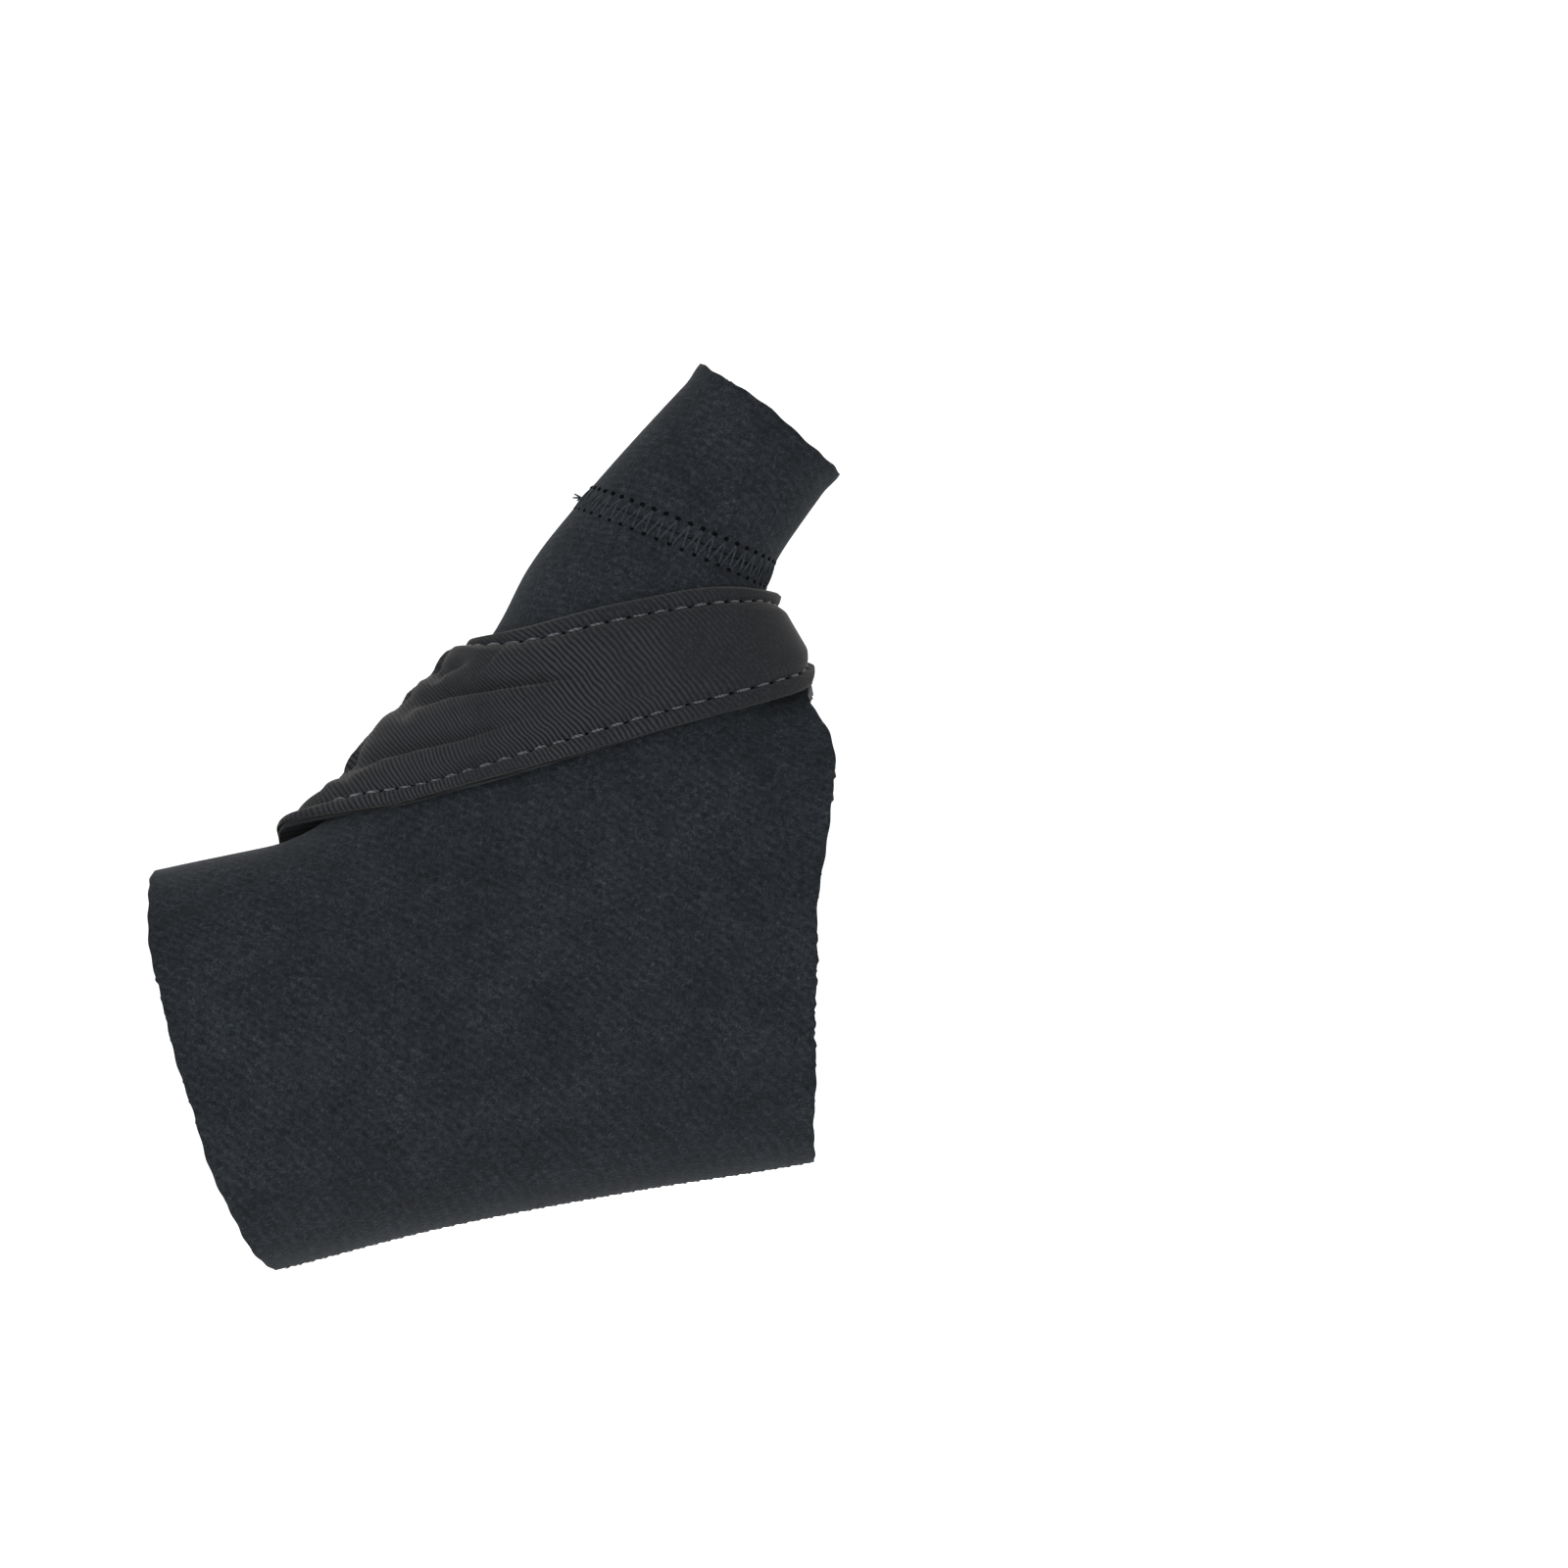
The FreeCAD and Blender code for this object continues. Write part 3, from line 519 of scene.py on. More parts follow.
def thumb_distance(points):
    """Finds the section plane that a point lies in by halving, then measures in that plane."""
    low = np.zeros(len(points))
    high = np.full(len(points), len(THUMB_STATIONS) - 1.0)
    for _ in range(HALVINGS):
        middle = (low + high) / 2
        x, z, lean = thumb_parts(middle, (0, 1, 4))
        lean = np.radians(lean)
        ahead = (points[:, 0] - x) * np.sin(lean) + (points[:, 2] - z) * np.cos(lean) > 0
        low = np.where(ahead, middle, low)
        high = np.where(ahead, high, middle)
    x, z, width, depth, lean = thumb_section((low + high) / 2)
    across = (points[:, 0] - x) * np.cos(lean) - (points[:, 2] - z) * np.sin(lean)
    beyond = (points[:, 0] - x) * np.sin(lean) + (points[:, 2] - z) * np.cos(lean)
    inside = ellipse_distance(across, points[:, 1], width / 2, depth / 2)
    return np.where(np.abs(beyond) > 0.5, np.maximum(inside, np.abs(beyond) - 0.5), inside)


def form_distance(points):
    """Distance from the face cloth's outer surface, negative inside."""
    first = sleeve_distance(points)
    second = np.full(len(points), FAR)
    near = points[:, 2] > NO_THUMB_BELOW
    second[near] = thumb_distance(points[near])
    share = np.clip(0.5 + 0.5 * (second - first) / MELT, 0, 1)
    return second * (1 - share) + first * share - MELT * share * (1 - share)


def form_normal(points):
    step = 0.05
    slopes = []
    for axis in range(3):
        shift = np.zeros(3)
        shift[axis] = step
        slopes.append((form_distance(points + shift) - form_distance(points - shift)) / (2 * step))
    slopes = np.stack(slopes, axis=1)
    return slopes / (np.linalg.norm(slopes, axis=1, keepdims=True) + 1e-9)


def onto_form(points, height=0.0, rounds=3):
    """Moves points along the normal until they are at a height over the form."""
    points = np.array(points, float)
    for _ in range(rounds):
        gap = np.clip(form_distance(points) - height, -2.5, 2.5)
        points -= form_normal(points) * gap[:, None]
    return points


print("surface check", form_distance(np.array([(20.0, 0, -32.7), (60.0, 23.0, 2.6)])).round(2))

# %% [markdown]
# ## A mesh of that form
# Marching over a grid would need code of its own. Blender's voxel remesh does it: two rough
# tubes are joined, remeshed at an even size, and each vertex is then moved onto the exact form.

# %% Rough tubes, voxel remesh, then onto the form
VOXEL = 1.7


def rough_tube(rings):
    """Points and faces of a closed tube through rings of equal length."""
    around = len(rings[0])
    points = [point for ring in rings for point in ring]
    faces = ring_faces(len(rings), around)
    faces.append(tuple(reversed(range(around))))
    faces.append(tuple(range((len(rings) - 1) * around, len(rings) * around)))
    return points, faces


def sleeve_rings(around=64):
    rings = []
    for x in np.linspace(SLEEVE_STATIONS[0, 0], SLEEVE_STATIONS[-1, 0], 40):
        centre, width, depth = (float(part[0]) for part in sleeve_section(np.array([x])))
        turn = np.linspace(0, 2 * math.pi, around, endpoint=False)
        rings.append([(x, depth / 2 * math.sin(a), centre + width / 2 * math.cos(a)) for a in turn])
    return rings


def thumb_rings(around=64):
    rings = []
    for s in np.linspace(0, len(THUMB_STATIONS) - 1, 40):
        x, z, width, depth, lean = (float(part[0]) for part in thumb_section(np.array([s])))
        turn = np.linspace(0, 2 * math.pi, around, endpoint=False)
        rings.append([(x + width / 2 * math.cos(a) * math.cos(lean), depth / 2 * math.sin(a),
                       z - width / 2 * math.cos(a) * math.sin(lean)) for a in turn])
    return rings


def apply_modifiers(thing):
    """Swaps an object's mesh for the one its modifiers make."""
    graph = bpy.context.evaluated_depsgraph_get()
    result = bpy.data.meshes.new_from_object(thing.evaluated_get(graph))
    thing.modifiers.clear()
    thing.data = result


def mesh_points(mesh):
    points = np.empty(len(mesh.vertices) * 3)
    mesh.vertices.foreach_get("co", points)
    return points.reshape(-1, 3) / MM


def build_form():
    points, faces = rough_tube(sleeve_rings())
    more_points, more_faces = rough_tube(thumb_rings())
    start = len(points)
    faces += [tuple(place + start for place in face) for face in more_faces]
    form = mesh_object("form", points + more_points, faces, KNIT)
    remesh = form.modifiers.new("even", "REMESH")
    remesh.mode = "VOXEL"
    remesh.voxel_size = VOXEL * MM
    smooth = form.modifiers.new("relax", "SMOOTH")
    smooth.factor = 0.5
    smooth.iterations = 6
    apply_modifiers(form)
    form.data.vertices.foreach_set("co", (onto_form(mesh_points(form.data)) * MM).ravel())
    finer = form.modifiers.new("finer", "SUBSURF")
    finer.levels = 1
    finer.subdivision_type = "CATMULL_CLARK"
    apply_modifiers(form)
    form.data.vertices.foreach_set("co", (onto_form(mesh_points(form.data), rounds=2) * MM).ravel())
    form.data.update()
    return form


form = build_form()
print("form vertices", len(form.data.vertices))

# %% [markdown]
# ## Panels and their layers
# The cutter divides the form where the real seams are: at the flatlock round the thumb, and at the
# seam under the strap. Each panel is made three times, once for each layer of the laminate, as a
# closed skin between two offsets. The foam is cut back a little and the lining is pinked: its teeth
# peek past the edge of the face cloth at both open ends, as they do on the real sleeve.

# %% Cutting planes
BUTT_GAP = 0.12
GUSSET_LOW = np.array((27.1, 42.0))
GUSSET_HIGH = np.array((121.1, 49.0))


def plane(point, normal):
    """A cutting plane upright to the palm, from an (x, z) point and normal."""
    normal = np.array((normal[0], 0, normal[1]), float)
    return np.array((point[0], 0, point[1]), float), normal / np.linalg.norm(normal)


gusset_run = GUSSET_HIGH - GUSSET_LOW
ABOVE_GUSSET = plane(GUSSET_LOW, (-gusset_run[1], gusset_run[0]))
SEAM_LEAN = math.radians(34.5)
PAST_SEAM = plane(SEAM, (math.sin(SEAM_LEAN), math.cos(SEAM_LEAN)))
PAST_TIP = plane(TIP, THUMB_RUN)
OUT_OF_WRIST = plane((0, 0), (-math.cos(WRIST_SLANT), -math.sin(WRIST_SLANT)))
OUT_OF_PALM = plane((SLEEVE_END, ULNAR_EDGE), (math.cos(PALM_SLANT), -math.sin(PALM_SLANT)))


def flipped(cut):
    return cut[0], -cut[1]


# Each panel keeps what lies behind its planes. A plane's last word says if that edge is open or sewn.
PANELS = {
    "sleeve": [(ABOVE_GUSSET, "sewn"), (OUT_OF_WRIST, "open"), (OUT_OF_PALM, "open")],
    "thumb_base": [(flipped(ABOVE_GUSSET), "sewn"), (PAST_SEAM, "sewn")],
    "thumb_tube": [(flipped(PAST_SEAM), "sewn"), (PAST_TIP, "open")],
}


def cut_panel(cuts, peek):
    """A bmesh of the form cut back to a panel. Open edges are moved out by peek."""
    panel = bmesh.new()
    panel.from_mesh(form.data)
    for (point, normal), edge in cuts:
        move = peek if edge == "open" else -BUTT_GAP
        bmesh.ops.bisect_plane(
            panel, geom=panel.verts[:] + panel.edges[:] + panel.faces[:],
            plane_co=Vector(point * MM) + Vector(normal) * move * MM, plane_no=Vector(normal),
            clear_outer=True)
    bmesh.ops.remove_doubles(panel, verts=panel.verts[:], dist=0.05 * MM)
    return panel


def skin_between(name, panel, outer, inner, material, cuts, teeth):
    """A closed skin between two offsets of a panel."""
    panel.verts.ensure_lookup_table()
    panel.verts.index_update()
    points = np.array([v.co for v in panel.verts]) / MM
    normals = form_normal(points)
    rim = [edge for edge in panel.edges if len(edge.link_faces) == 1]
    rim_points = np.array(sorted({v.index for edge in rim for v in edge.verts}))
    points = worn_edges(scissor_cut(points, rim_points, cuts, teeth), normals)
    count = len(points)
    faces = [[v.index for v in face.verts] for face in panel.faces]
    inner_faces = [[place + count for place in reversed(face)] for face in faces]
    walls = []
    for edge in rim:
        loop = edge.link_loops[0]
        first, second = loop.vert.index, loop.link_loop_next.vert.index
        walls.append((second, first, first + count, second + count))
    both = np.concatenate((points + normals * outer, points + normals * inner))
    return mesh_object(name, both, faces + inner_faces + walls, material)


# %% Teeth of the lining, the scissors' marks, and edges pulled out of shape by wear
TOOTH_PITCH = 3.6
TOOTH_HEIGHT = 0.7
TEETH_END_AT = 8.0
HIDDEN_BEYOND = 0.5
SCISSOR_WANDER = 0.16
# size, reach in mm, turn
SCISSOR_WAVES = ((1.0, 2.9, 0), (0.6, 0.83, 1), (0.5, 7.7, 0))
CORNER_TUCK = 1.8
CORNER_TUCK_AT = 39.5
CORNER_TUCK_REACH = 4.0
PALM_BULGE = 2.7
PALM_BULGE_AT = 27.6
PALM_BULGE_BELOW = 13.5
PALM_BULGE_ABOVE = 7.5
PALM_BULGE_REACH = 16.0
WRIST_BULGE = 2.5
WRIST_BULGE_REACH = 14.0
WRIST_HALF_WIDTH = 34.5
TIP_FLARE = 0.55
TIP_FLARE_REACH = 4.0


def scissor_cut(points, rim_points, cuts, teeth):
    """Moves the rim of each open edge: shallow teeth on the lining, a slight wander on the rest."""
    points = points.copy()
    for (point, normal), edge in cuts:
        if edge != "open":
            continue
        past = (points[rim_points] - point) @ normal
        chosen = rim_points[np.abs(past - (LINING_PEEK if teeth else FOAM_BACK / 2)) < 0.4]
        flat = points[chosen] - point
        flat -= np.outer(flat @ normal, normal)
        around = np.arctan2(flat[:, 1], flat @ np.cross(normal, (0, 1, 0)))
        order = np.argsort(around)
        steps = np.linalg.norm(np.diff(flat[order], axis=0), axis=1)
        length = np.concatenate(([0], np.cumsum(steps)))
        toothed = smooth_step((TEETH_END_AT - points[chosen[order], 2]) / 8) if normal[0] > 0 else 1.0
        wander = sum(size * np.sin(length / reach + turn) for size, reach, turn in SCISSOR_WAVES)
        move = SCISSOR_WANDER * wander
        if teeth:
            tooth = TOOTH_HEIGHT * (0.5 - np.abs(2 * (length / TOOTH_PITCH % 1.0) - 1))
            move = tooth * toothed - HIDDEN_BEYOND * (1 - toothed) + 0.5 * move
        points[chosen[order]] += np.outer(move, normal)
    return points


def worn_edges(points, normals):
    """The palm's and the wrist's edges bulge on the palm side, the palm edge's corner is tucked in
    under the strap, and the thumb tube's rim flares."""
    points = points.copy()
    past = (points - OUT_OF_PALM[0]) @ OUT_OF_PALM[1]
    near = smooth_step(1 + past / PALM_BULGE_REACH)
    gap = points[:, 2] - PALM_BULGE_AT
    reach = np.where(gap < 0, PALM_BULGE_BELOW, PALM_BULGE_ABOVE)
    palm_side = smooth_step(0.5 - points[:, 1] / 16)
    points[:, 0] += PALM_BULGE * near * palm_side * np.exp(-(gap / reach) ** 2)
    corner = np.exp(-((points[:, 2] - CORNER_TUCK_AT) / CORNER_TUCK_REACH) ** 2)
    points[:, 0] -= CORNER_TUCK * near * corner
    past = (points - OUT_OF_WRIST[0]) @ OUT_OF_WRIST[1]
    inside_edge = np.clip(1 - (points[:, 2] / WRIST_HALF_WIDTH) ** 4, 0, 1)
    points[:, 0] -= WRIST_BULGE * smooth_step(1 + past / WRIST_BULGE_REACH) * palm_side * inside_edge
    past = (points - PAST_TIP[0]) @ PAST_TIP[1]
    flare = smooth_step(1 + past / TIP_FLARE_REACH) * TIP_FLARE
    points += normals * flare[:, None] * np.abs(normals @ TIP_SIDE)[:, None] ** 2
    points += PAST_TIP[1] * (flare * 1.1 * (normals[:, 1] < 0) * normals[:, 1] ** 2)[:, None]
    return points


def smooth_step(value):
    value = np.clip(value, 0, 1)
    return value * value * (3 - 2 * value)


TIP_SIDE = np.cross(PAST_TIP[1], (0, 1.0, 0))
LINING_PEEK = 0.1
FOAM_BACK = -0.2
# layer: outer offset, inner offset, how far its open edge stands out, material
LAYERS = {
    "face_fabric": (0.0, -0.6, 0.0, KNIT),
    "foam_core": (-0.65, -2.45, FOAM_BACK, FOAM),
    "lining": (-2.5, -3.1, LINING_PEEK, LINING),
}
PANEL_BODY = {"sleeve": "sleeve", "thumb_tube": "thumb"}


def build_panels():
    made = {}
    for panel_name, cuts in PANELS.items():
        for layer, (outer, inner, peek, material) in LAYERS.items():
            panel = cut_panel(cuts, peek)
            name = f"{panel_name}_{layer}"
            piece = skin_between(f"{name}_cloth", panel, outer, inner, material, cuts, layer == "lining")
            panel.free()
            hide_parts(name)
            if panel_name == "thumb_base":
                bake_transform(piece)
            else:
                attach(piece, PANEL_BODY[panel_name])
            made[name] = piece
    return made


panels = build_panels()
print("panel pieces", len(panels))
bpy.data.objects.remove(form)

# %% [markdown]
# ## The strap's path
# A strap is sewn flat and pulled tight, so where the hand is hollow it bridges the hollow, and
# elsewhere it lies on the form. Its two edges are drawn as matching points, and the width
# between them is filled in: a point inside the form is pushed out, a point outside it stays. Both
# coordinates of the grid are then spaced by true length, which keeps twill and stitches even.

# %% The two edges of the strap, from its sewn end to its free end
STRAP_EDGES = np.array([
    # lower edge x, y, z; upper edge x, y, z
    (72.1, 20, 27.5, 65.1, 15, 52.5),
    (84, 20, 31.5, 78, 15.5, 54),
    (96, 15, 36, 92, 15, 56),
    (102, 8, 39.2, 98.6, 8, 56.8),
    (105.4, 0, 40.4, 100.8, 0, 57.0),
    (104.2, -9, 39.7, 99.6, -8, 57.6),
    (95.5, -18, 38.9, 93.5, -14, 58.5),
    (82.9, -21, 38.2, 83.5, -16, 58.5),
    (70, -22, 37.0, 71.5, -13, 57.2),
    (58.4, -21, 35.9, 61.5, -4, 53.7),
    (48, -17, 35.3, 59.0, 4, 51.0),
    (38.5, -12, 35.0, 54.6, 11, 47.2),
    (28, -6, 35.3, 49.5, 16, 42.5),
    (18.1, 0, 35.5, 43.5, 19, 34.5),
    (16.4, 9, 31.8, 38.0, 21, 26.0),
    (12.6, 16, 25, 34.4, 22.4, 18.0),
    (7.5, 21, 16, 32.5, 23.3, 10),
    (7.5, 23, 4, 32.5, 23, 1),
    (7.5, 22, -8, 32.5, 22, -9),
    (7.5, 18, -18, 32.5, 18, -18),
    (7.5, 13.5, -26, 32.5, 13.5, -26),
])
WEB_POINT = 4
EDGE_POINT = 13
ROOT_POINT = 16
ALONG_STEP = 0.4
ACROSS_ROWS = 73
COARSE_ALONG = 132
COARSE_ACROSS = 25


def spaced(values, lengths, count):
    """Resamples rows of values evenly by length, with straight pieces."""
    at = np.linspace(0, lengths[-1], count)
    flat = values.reshape(len(values), -1)
    evened = np.stack([np.interp(at, lengths, column) for column in flat.T], axis=1)
    return evened.reshape(count, *values.shape[1:])


def running_length(points):
    return np.concatenate(([0], np.cumsum(np.linalg.norm(np.diff(points, axis=0), axis=1))))


def pushed_out(grid, rounds=2):
    """Moves only the points inside the form out to its surface."""
    flat = grid.reshape(-1, 3).copy()
    for _ in range(rounds):
        depth = np.clip(-form_distance(flat), 0, 2.5)
        inside = depth > 0.01
        if inside.any():
            flat[inside] += form_normal(flat[inside]) * depth[inside, None]
    return flat.reshape(grid.shape)


def strap_base():
    """A grid of points on the form, rows across the strap and columns along it."""
    numbers = np.arange(len(STRAP_EDGES))
    at = np.linspace(0, numbers[-1], COARSE_ALONG)
    drawn = np.stack([spline(numbers, STRAP_EDGES[:, part], at) for part in range(6)], axis=1)
    share = np.linspace(0, 1, COARSE_ACROSS)[:, None, None]
    grid = drawn[None, :, :3] * (1 - share) + drawn[None, :, 3:] * share
    grid = pushed_out(grid, 6)
    for _ in range(4):
        grid[1:-1] = (grid[:-2] + 2 * grid[1:-1] + grid[2:]) / 4
        grid[:, 1:-1] = (grid[:, :-2] + 2 * grid[:, 1:-1] + grid[:, 2:]) / 4
        grid = pushed_out(grid, 2)
    columns = []
    for column in range(grid.shape[1]):
        line = grid[:, column]
        columns.append(spaced(line, running_length(line), ACROSS_ROWS))
    grid = np.stack(columns, axis=0)
    length = running_length(grid[:, ACROSS_ROWS // 2])
    grid = spaced(grid, length, int(length[-1] / ALONG_STEP))
    marks = np.interp([WEB_POINT, EDGE_POINT, ROOT_POINT], at, length)
    for _ in range(3):
        grid[1:-1] = (grid[:-2] + 2 * grid[1:-1] + grid[2:]) / 4
    return pushed_out(grid).transpose(1, 0, 2), length[-1], marks


strap_rows, STRAP_LENGTH, (AT_WEB, AT_EDGE, AT_ROOT) = strap_base()
AT = np.linspace(0, STRAP_LENGTH, strap_rows.shape[1])
ACROSS = np.linspace(-1, 1, ACROSS_ROWS)
half_width = np.linalg.norm(np.diff(strap_rows, axis=0), axis=2).sum(axis=0) / 2


def grid_normals(grid):
    """Unit normals of a grid, all on the outer side."""
    normals = np.cross(np.gradient(grid, axis=1), np.gradient(grid, axis=0))
    normals /= np.linalg.norm(normals, axis=2, keepdims=True) + 1e-9
    outward = form_normal(grid.reshape(-1, 3)).reshape(grid.shape)
    return normals * np.sign((normals * outward).sum(axis=2).mean())


strap_normals = grid_normals(strap_rows)
print("strap length", round(STRAP_LENGTH, 1), "grid", strap_rows.shape)
widths_shown = 2 * half_width[[int(AT_WEB / ALONG_STEP), int(AT_EDGE / ALONG_STEP), -1]]
print("width at web, wrist and end", widths_shown.round(1))

# %% [markdown]
# ## The strap's thickness
# The twill is stretched over foam and stitched down along both edges, so the middle is plump, the
# stitch lines sink in and a thin flange stands outside them. Where the strap rounds the wrist it is
# pushed together, and it buckles into long soft folds: four lobes on the outline, with creases
# between them that fade out on the way to the thumb web.

# %% Height of the strap's face over the form
AIR = 0.4
PLUMP = 3.1
FLANGE = 2.1
PLUMP_RISE = 2.6
ROW_INSET = 2.6
ROW_SINK = 0.55
ROW_SINK_HALF = 0.5
EDGE_ROUND = 0.7
EDGE_ROUND_REACH = 0.9
LOBE_RISE = 0.9
LOBE_CLEAR = 4
LOBE_REACH = 9.0
# Creases: how wide and how sloped they are, and how they change at the outline and on the back.
CREASE_HALF = 0.6
CREASE_WIDER = 0.5
CREASE_SHALLOWER = 0.72
CREASE_BEHIND = 0.35
CREASE_FADE = 1.7
CREASE_SLOPE = 0.22
CREASE_SHOULDER = 2.2
OUTLINE_SHARE = 0.1
# Each crease: its path on the palm side and on the back, as (x, z) points from the outline inwards,
# and its depth.
CREASES = [
    ([(31.9, 39.1), (33.2, 40.6), (38.6, 42.1), (44.6, 42.7), (51.4, 43.0), (57.7, 43.6), (69.8, 45.4)],
     [(31.9, 39.1), (26.0, 31.5), (21.0, 25.0)], 1.7),
    ([(43.6, 47.4), (45.6, 48.6), (51.2, 49.6), (58.9, 49.6), (68.0, 49.1), (78.9, 48.4)],
     [(43.6, 47.4), (38.5, 40.0), (33.5, 32.0)], 1.9),
    ([(49.4, 51.8), (50.8, 52.8), (52.8, 53.4), (56.6, 53.6)],
     [(49.4, 51.8), (45.0, 45.0), (41.0, 39.0)], 1.5),
]
STITCH_PITCH = 3.2
STITCH_LENGTH = 1.9
DIMPLE_DEPTH = 0.45
DIMPLE_ALONG = 0.45
DIMPLE_ACROSS = 0.35


def off_path(points, path):
    """Distance in the palm plane from a path, and the share of the path's length passed."""
    path = np.array(path, float)
    lengths = running_length(path)
    best = np.full(points.shape[:-1], FAR)
    share = np.zeros(points.shape[:-1])
    for number in range(len(path) - 1):
        run = path[number + 1] - path[number]
        t = np.clip(((points - path[number]) @ run) / (run @ run), 0, 1)
        gap = np.linalg.norm(points - path[number] - t[..., None] * run, axis=-1)
        closer = gap < best
        best = np.where(closer, gap, best)
        passed = lengths[number] + t * (lengths[number + 1] - lengths[number])
        share = np.where(closer, passed / lengths[-1], share)
    return best, share


def strap_height(from_edge):
    """Thickness of the strap over its whole grid."""
    height = FLANGE + (PLUMP - FLANGE) * smooth_step((from_edge - ROW_INSET) / PLUMP_RISE)
    height -= ROW_SINK * np.exp(-((from_edge - ROW_INSET) / ROW_SINK_HALF) ** 2)
    height -= EDGE_ROUND * smooth_step(1 - from_edge / EDGE_ROUND_REACH) ** 2
    places = strap_rows[..., (0, 2)]
    behind = strap_rows[..., 1] > 0
    middle = smooth_step((from_edge - ROW_INSET) / LOBE_CLEAR)
    nearest = np.full(height.shape, FAR)
    faded = np.zeros(height.shape)
    for palm_path, back_path, depth in CREASES:
        front_gap, front_share = off_path(places, palm_path)
        back_gap, back_share = off_path(places, back_path)
        gap = np.where(behind, back_gap, front_gap)
        share = np.where(behind, back_share, front_share)
        kept = smooth_step((1 - share) * CREASE_FADE)
        outline = np.exp(-(share / OUTLINE_SHARE) ** 2)
        width = CREASE_HALF + CREASE_WIDER * outline
        deep = depth * kept * (1 - CREASE_SHALLOWER * outline) * np.where(behind, CREASE_BEHIND, 1.0)
        height -= deep * np.exp(-(gap / width) ** 2)
        height -= CREASE_SLOPE * deep * np.exp(-(gap / CREASE_SHOULDER) ** 2)
        closer = gap < nearest
        nearest = np.where(closer, gap, nearest)
        faded = np.where(closer, kept, faded)
    lobe = (1 - np.exp(-(nearest / CREASE_SHOULDER) ** 2)) * np.exp(-(nearest / LOBE_REACH) ** 2)
    return height + LOBE_RISE * faded * middle * lobe


def dimples(along, from_edge):
    """Needle holes at each end of each stitch."""
    phase = (along / STITCH_PITCH) % 1.0
    near = np.minimum(phase, 1 - phase) * STITCH_PITCH
    along_row = (near / DIMPLE_ALONG) ** 2
    across_row = ((from_edge - ROW_INSET) / DIMPLE_ACROSS) ** 2
    return DIMPLE_DEPTH * np.exp(-along_row - across_row)


along_grid = np.broadcast_to(AT, strap_rows.shape[:2])
across_grid = np.broadcast_to(ACROSS[:, None], strap_rows.shape[:2])
width_grid = np.broadcast_to(half_width, strap_rows.shape[:2])
edge_grid = (1 - np.abs(across_grid)) * width_grid
height_grid = strap_height(edge_grid) - dimples(along_grid, edge_grid)

# Pulled tight round the thumb web, the strap is pressed thin and its two flanges curl outwards.
WEB_THINNED = 0.28
WEB_REACH = 8.0
CURL_REACH = 4.0
CURL_FROM = 0.65
CURL_LIFT = 0.7
at_web = np.exp(-((along_grid - AT_WEB) / WEB_REACH) ** 2)
height_grid = height_grid * (1 - WEB_THINNED * at_web * (0.5 + 0.5 * across_grid))
curl = np.exp(-((along_grid - AT_WEB) / CURL_REACH) ** 2)
curl = curl * smooth_step((np.abs(across_grid) - CURL_FROM) / (1 - CURL_FROM))
# Between wrist and thumb the strap stands a little off the hollow, pushed up by its own folds.
BRIDGE_BEFORE_EDGE = 14.0
BRIDGE_REACH = 20.0
BRIDGE_LIFT = 0.4
at_edge = np.exp(-((along_grid - AT_EDGE + BRIDGE_BEFORE_EDGE) / BRIDGE_REACH) ** 2)
LIFT = AIR + CURL_LIFT * curl + BRIDGE_LIFT * at_edge * np.clip(1 - across_grid ** 2, 0, 1)
print("height from", round(float(height_grid.min()), 2), "to", round(float(height_grid.max()), 2))

# %% [markdown]
# ## Strap pieces
# The face wraps from the top down over both edges, the foam lies inside it and the backing closes
# it underneath. The free end is cut with round corners: columns near the end are narrowed to a
# quarter circle, so no boolean is needed and the grid stays even.

# %% Grid to closed piece
TAB_CORNER = 6.0


def rounded_across(across, along, width):
    """Pulls the edges in near the free end, so that its corners are round."""
    left = np.clip(STRAP_LENGTH - along, 0, TAB_CORNER)
    inset = TAB_CORNER - np.sqrt(np.maximum(TAB_CORNER ** 2 - (TAB_CORNER - left) ** 2, 0))
    return across * (1 - inset / width)


def sampled(rows, across):
    """Grid points at other places across the strap, read between rows."""
    place = (across + 1) / 2 * (len(rows) - 1)
    low = np.clip(np.floor(place).astype(int), 0, len(rows) - 2)
    share = (place - low)[..., None]
    columns = np.broadcast_to(np.arange(rows.shape[1]), across.shape)
    return rows[low, columns] * (1 - share) + rows[low + 1, columns] * share


def closed_grid_faces(rows, columns):
    """Faces of an upper grid of points, the same grid below it, and the walls round both."""
    count = rows * columns
    index = np.arange(count).reshape(rows, columns)
    corners = (index[:-1, :-1], index[:-1, 1:], index[1:, 1:], index[1:, :-1])
    quads = np.stack(corners, axis=-1).reshape(-1, 4)
    rim = np.concatenate((index[0, :], index[1:, -1], index[-1, -2::-1], index[-2:0:-1, 0]))
    after = np.roll(rim, -1)
    walls = np.stack((after, rim, rim + count, after + count), axis=-1)
    return np.concatenate((quads, quads[:, ::-1] + count, walls)).tolist()


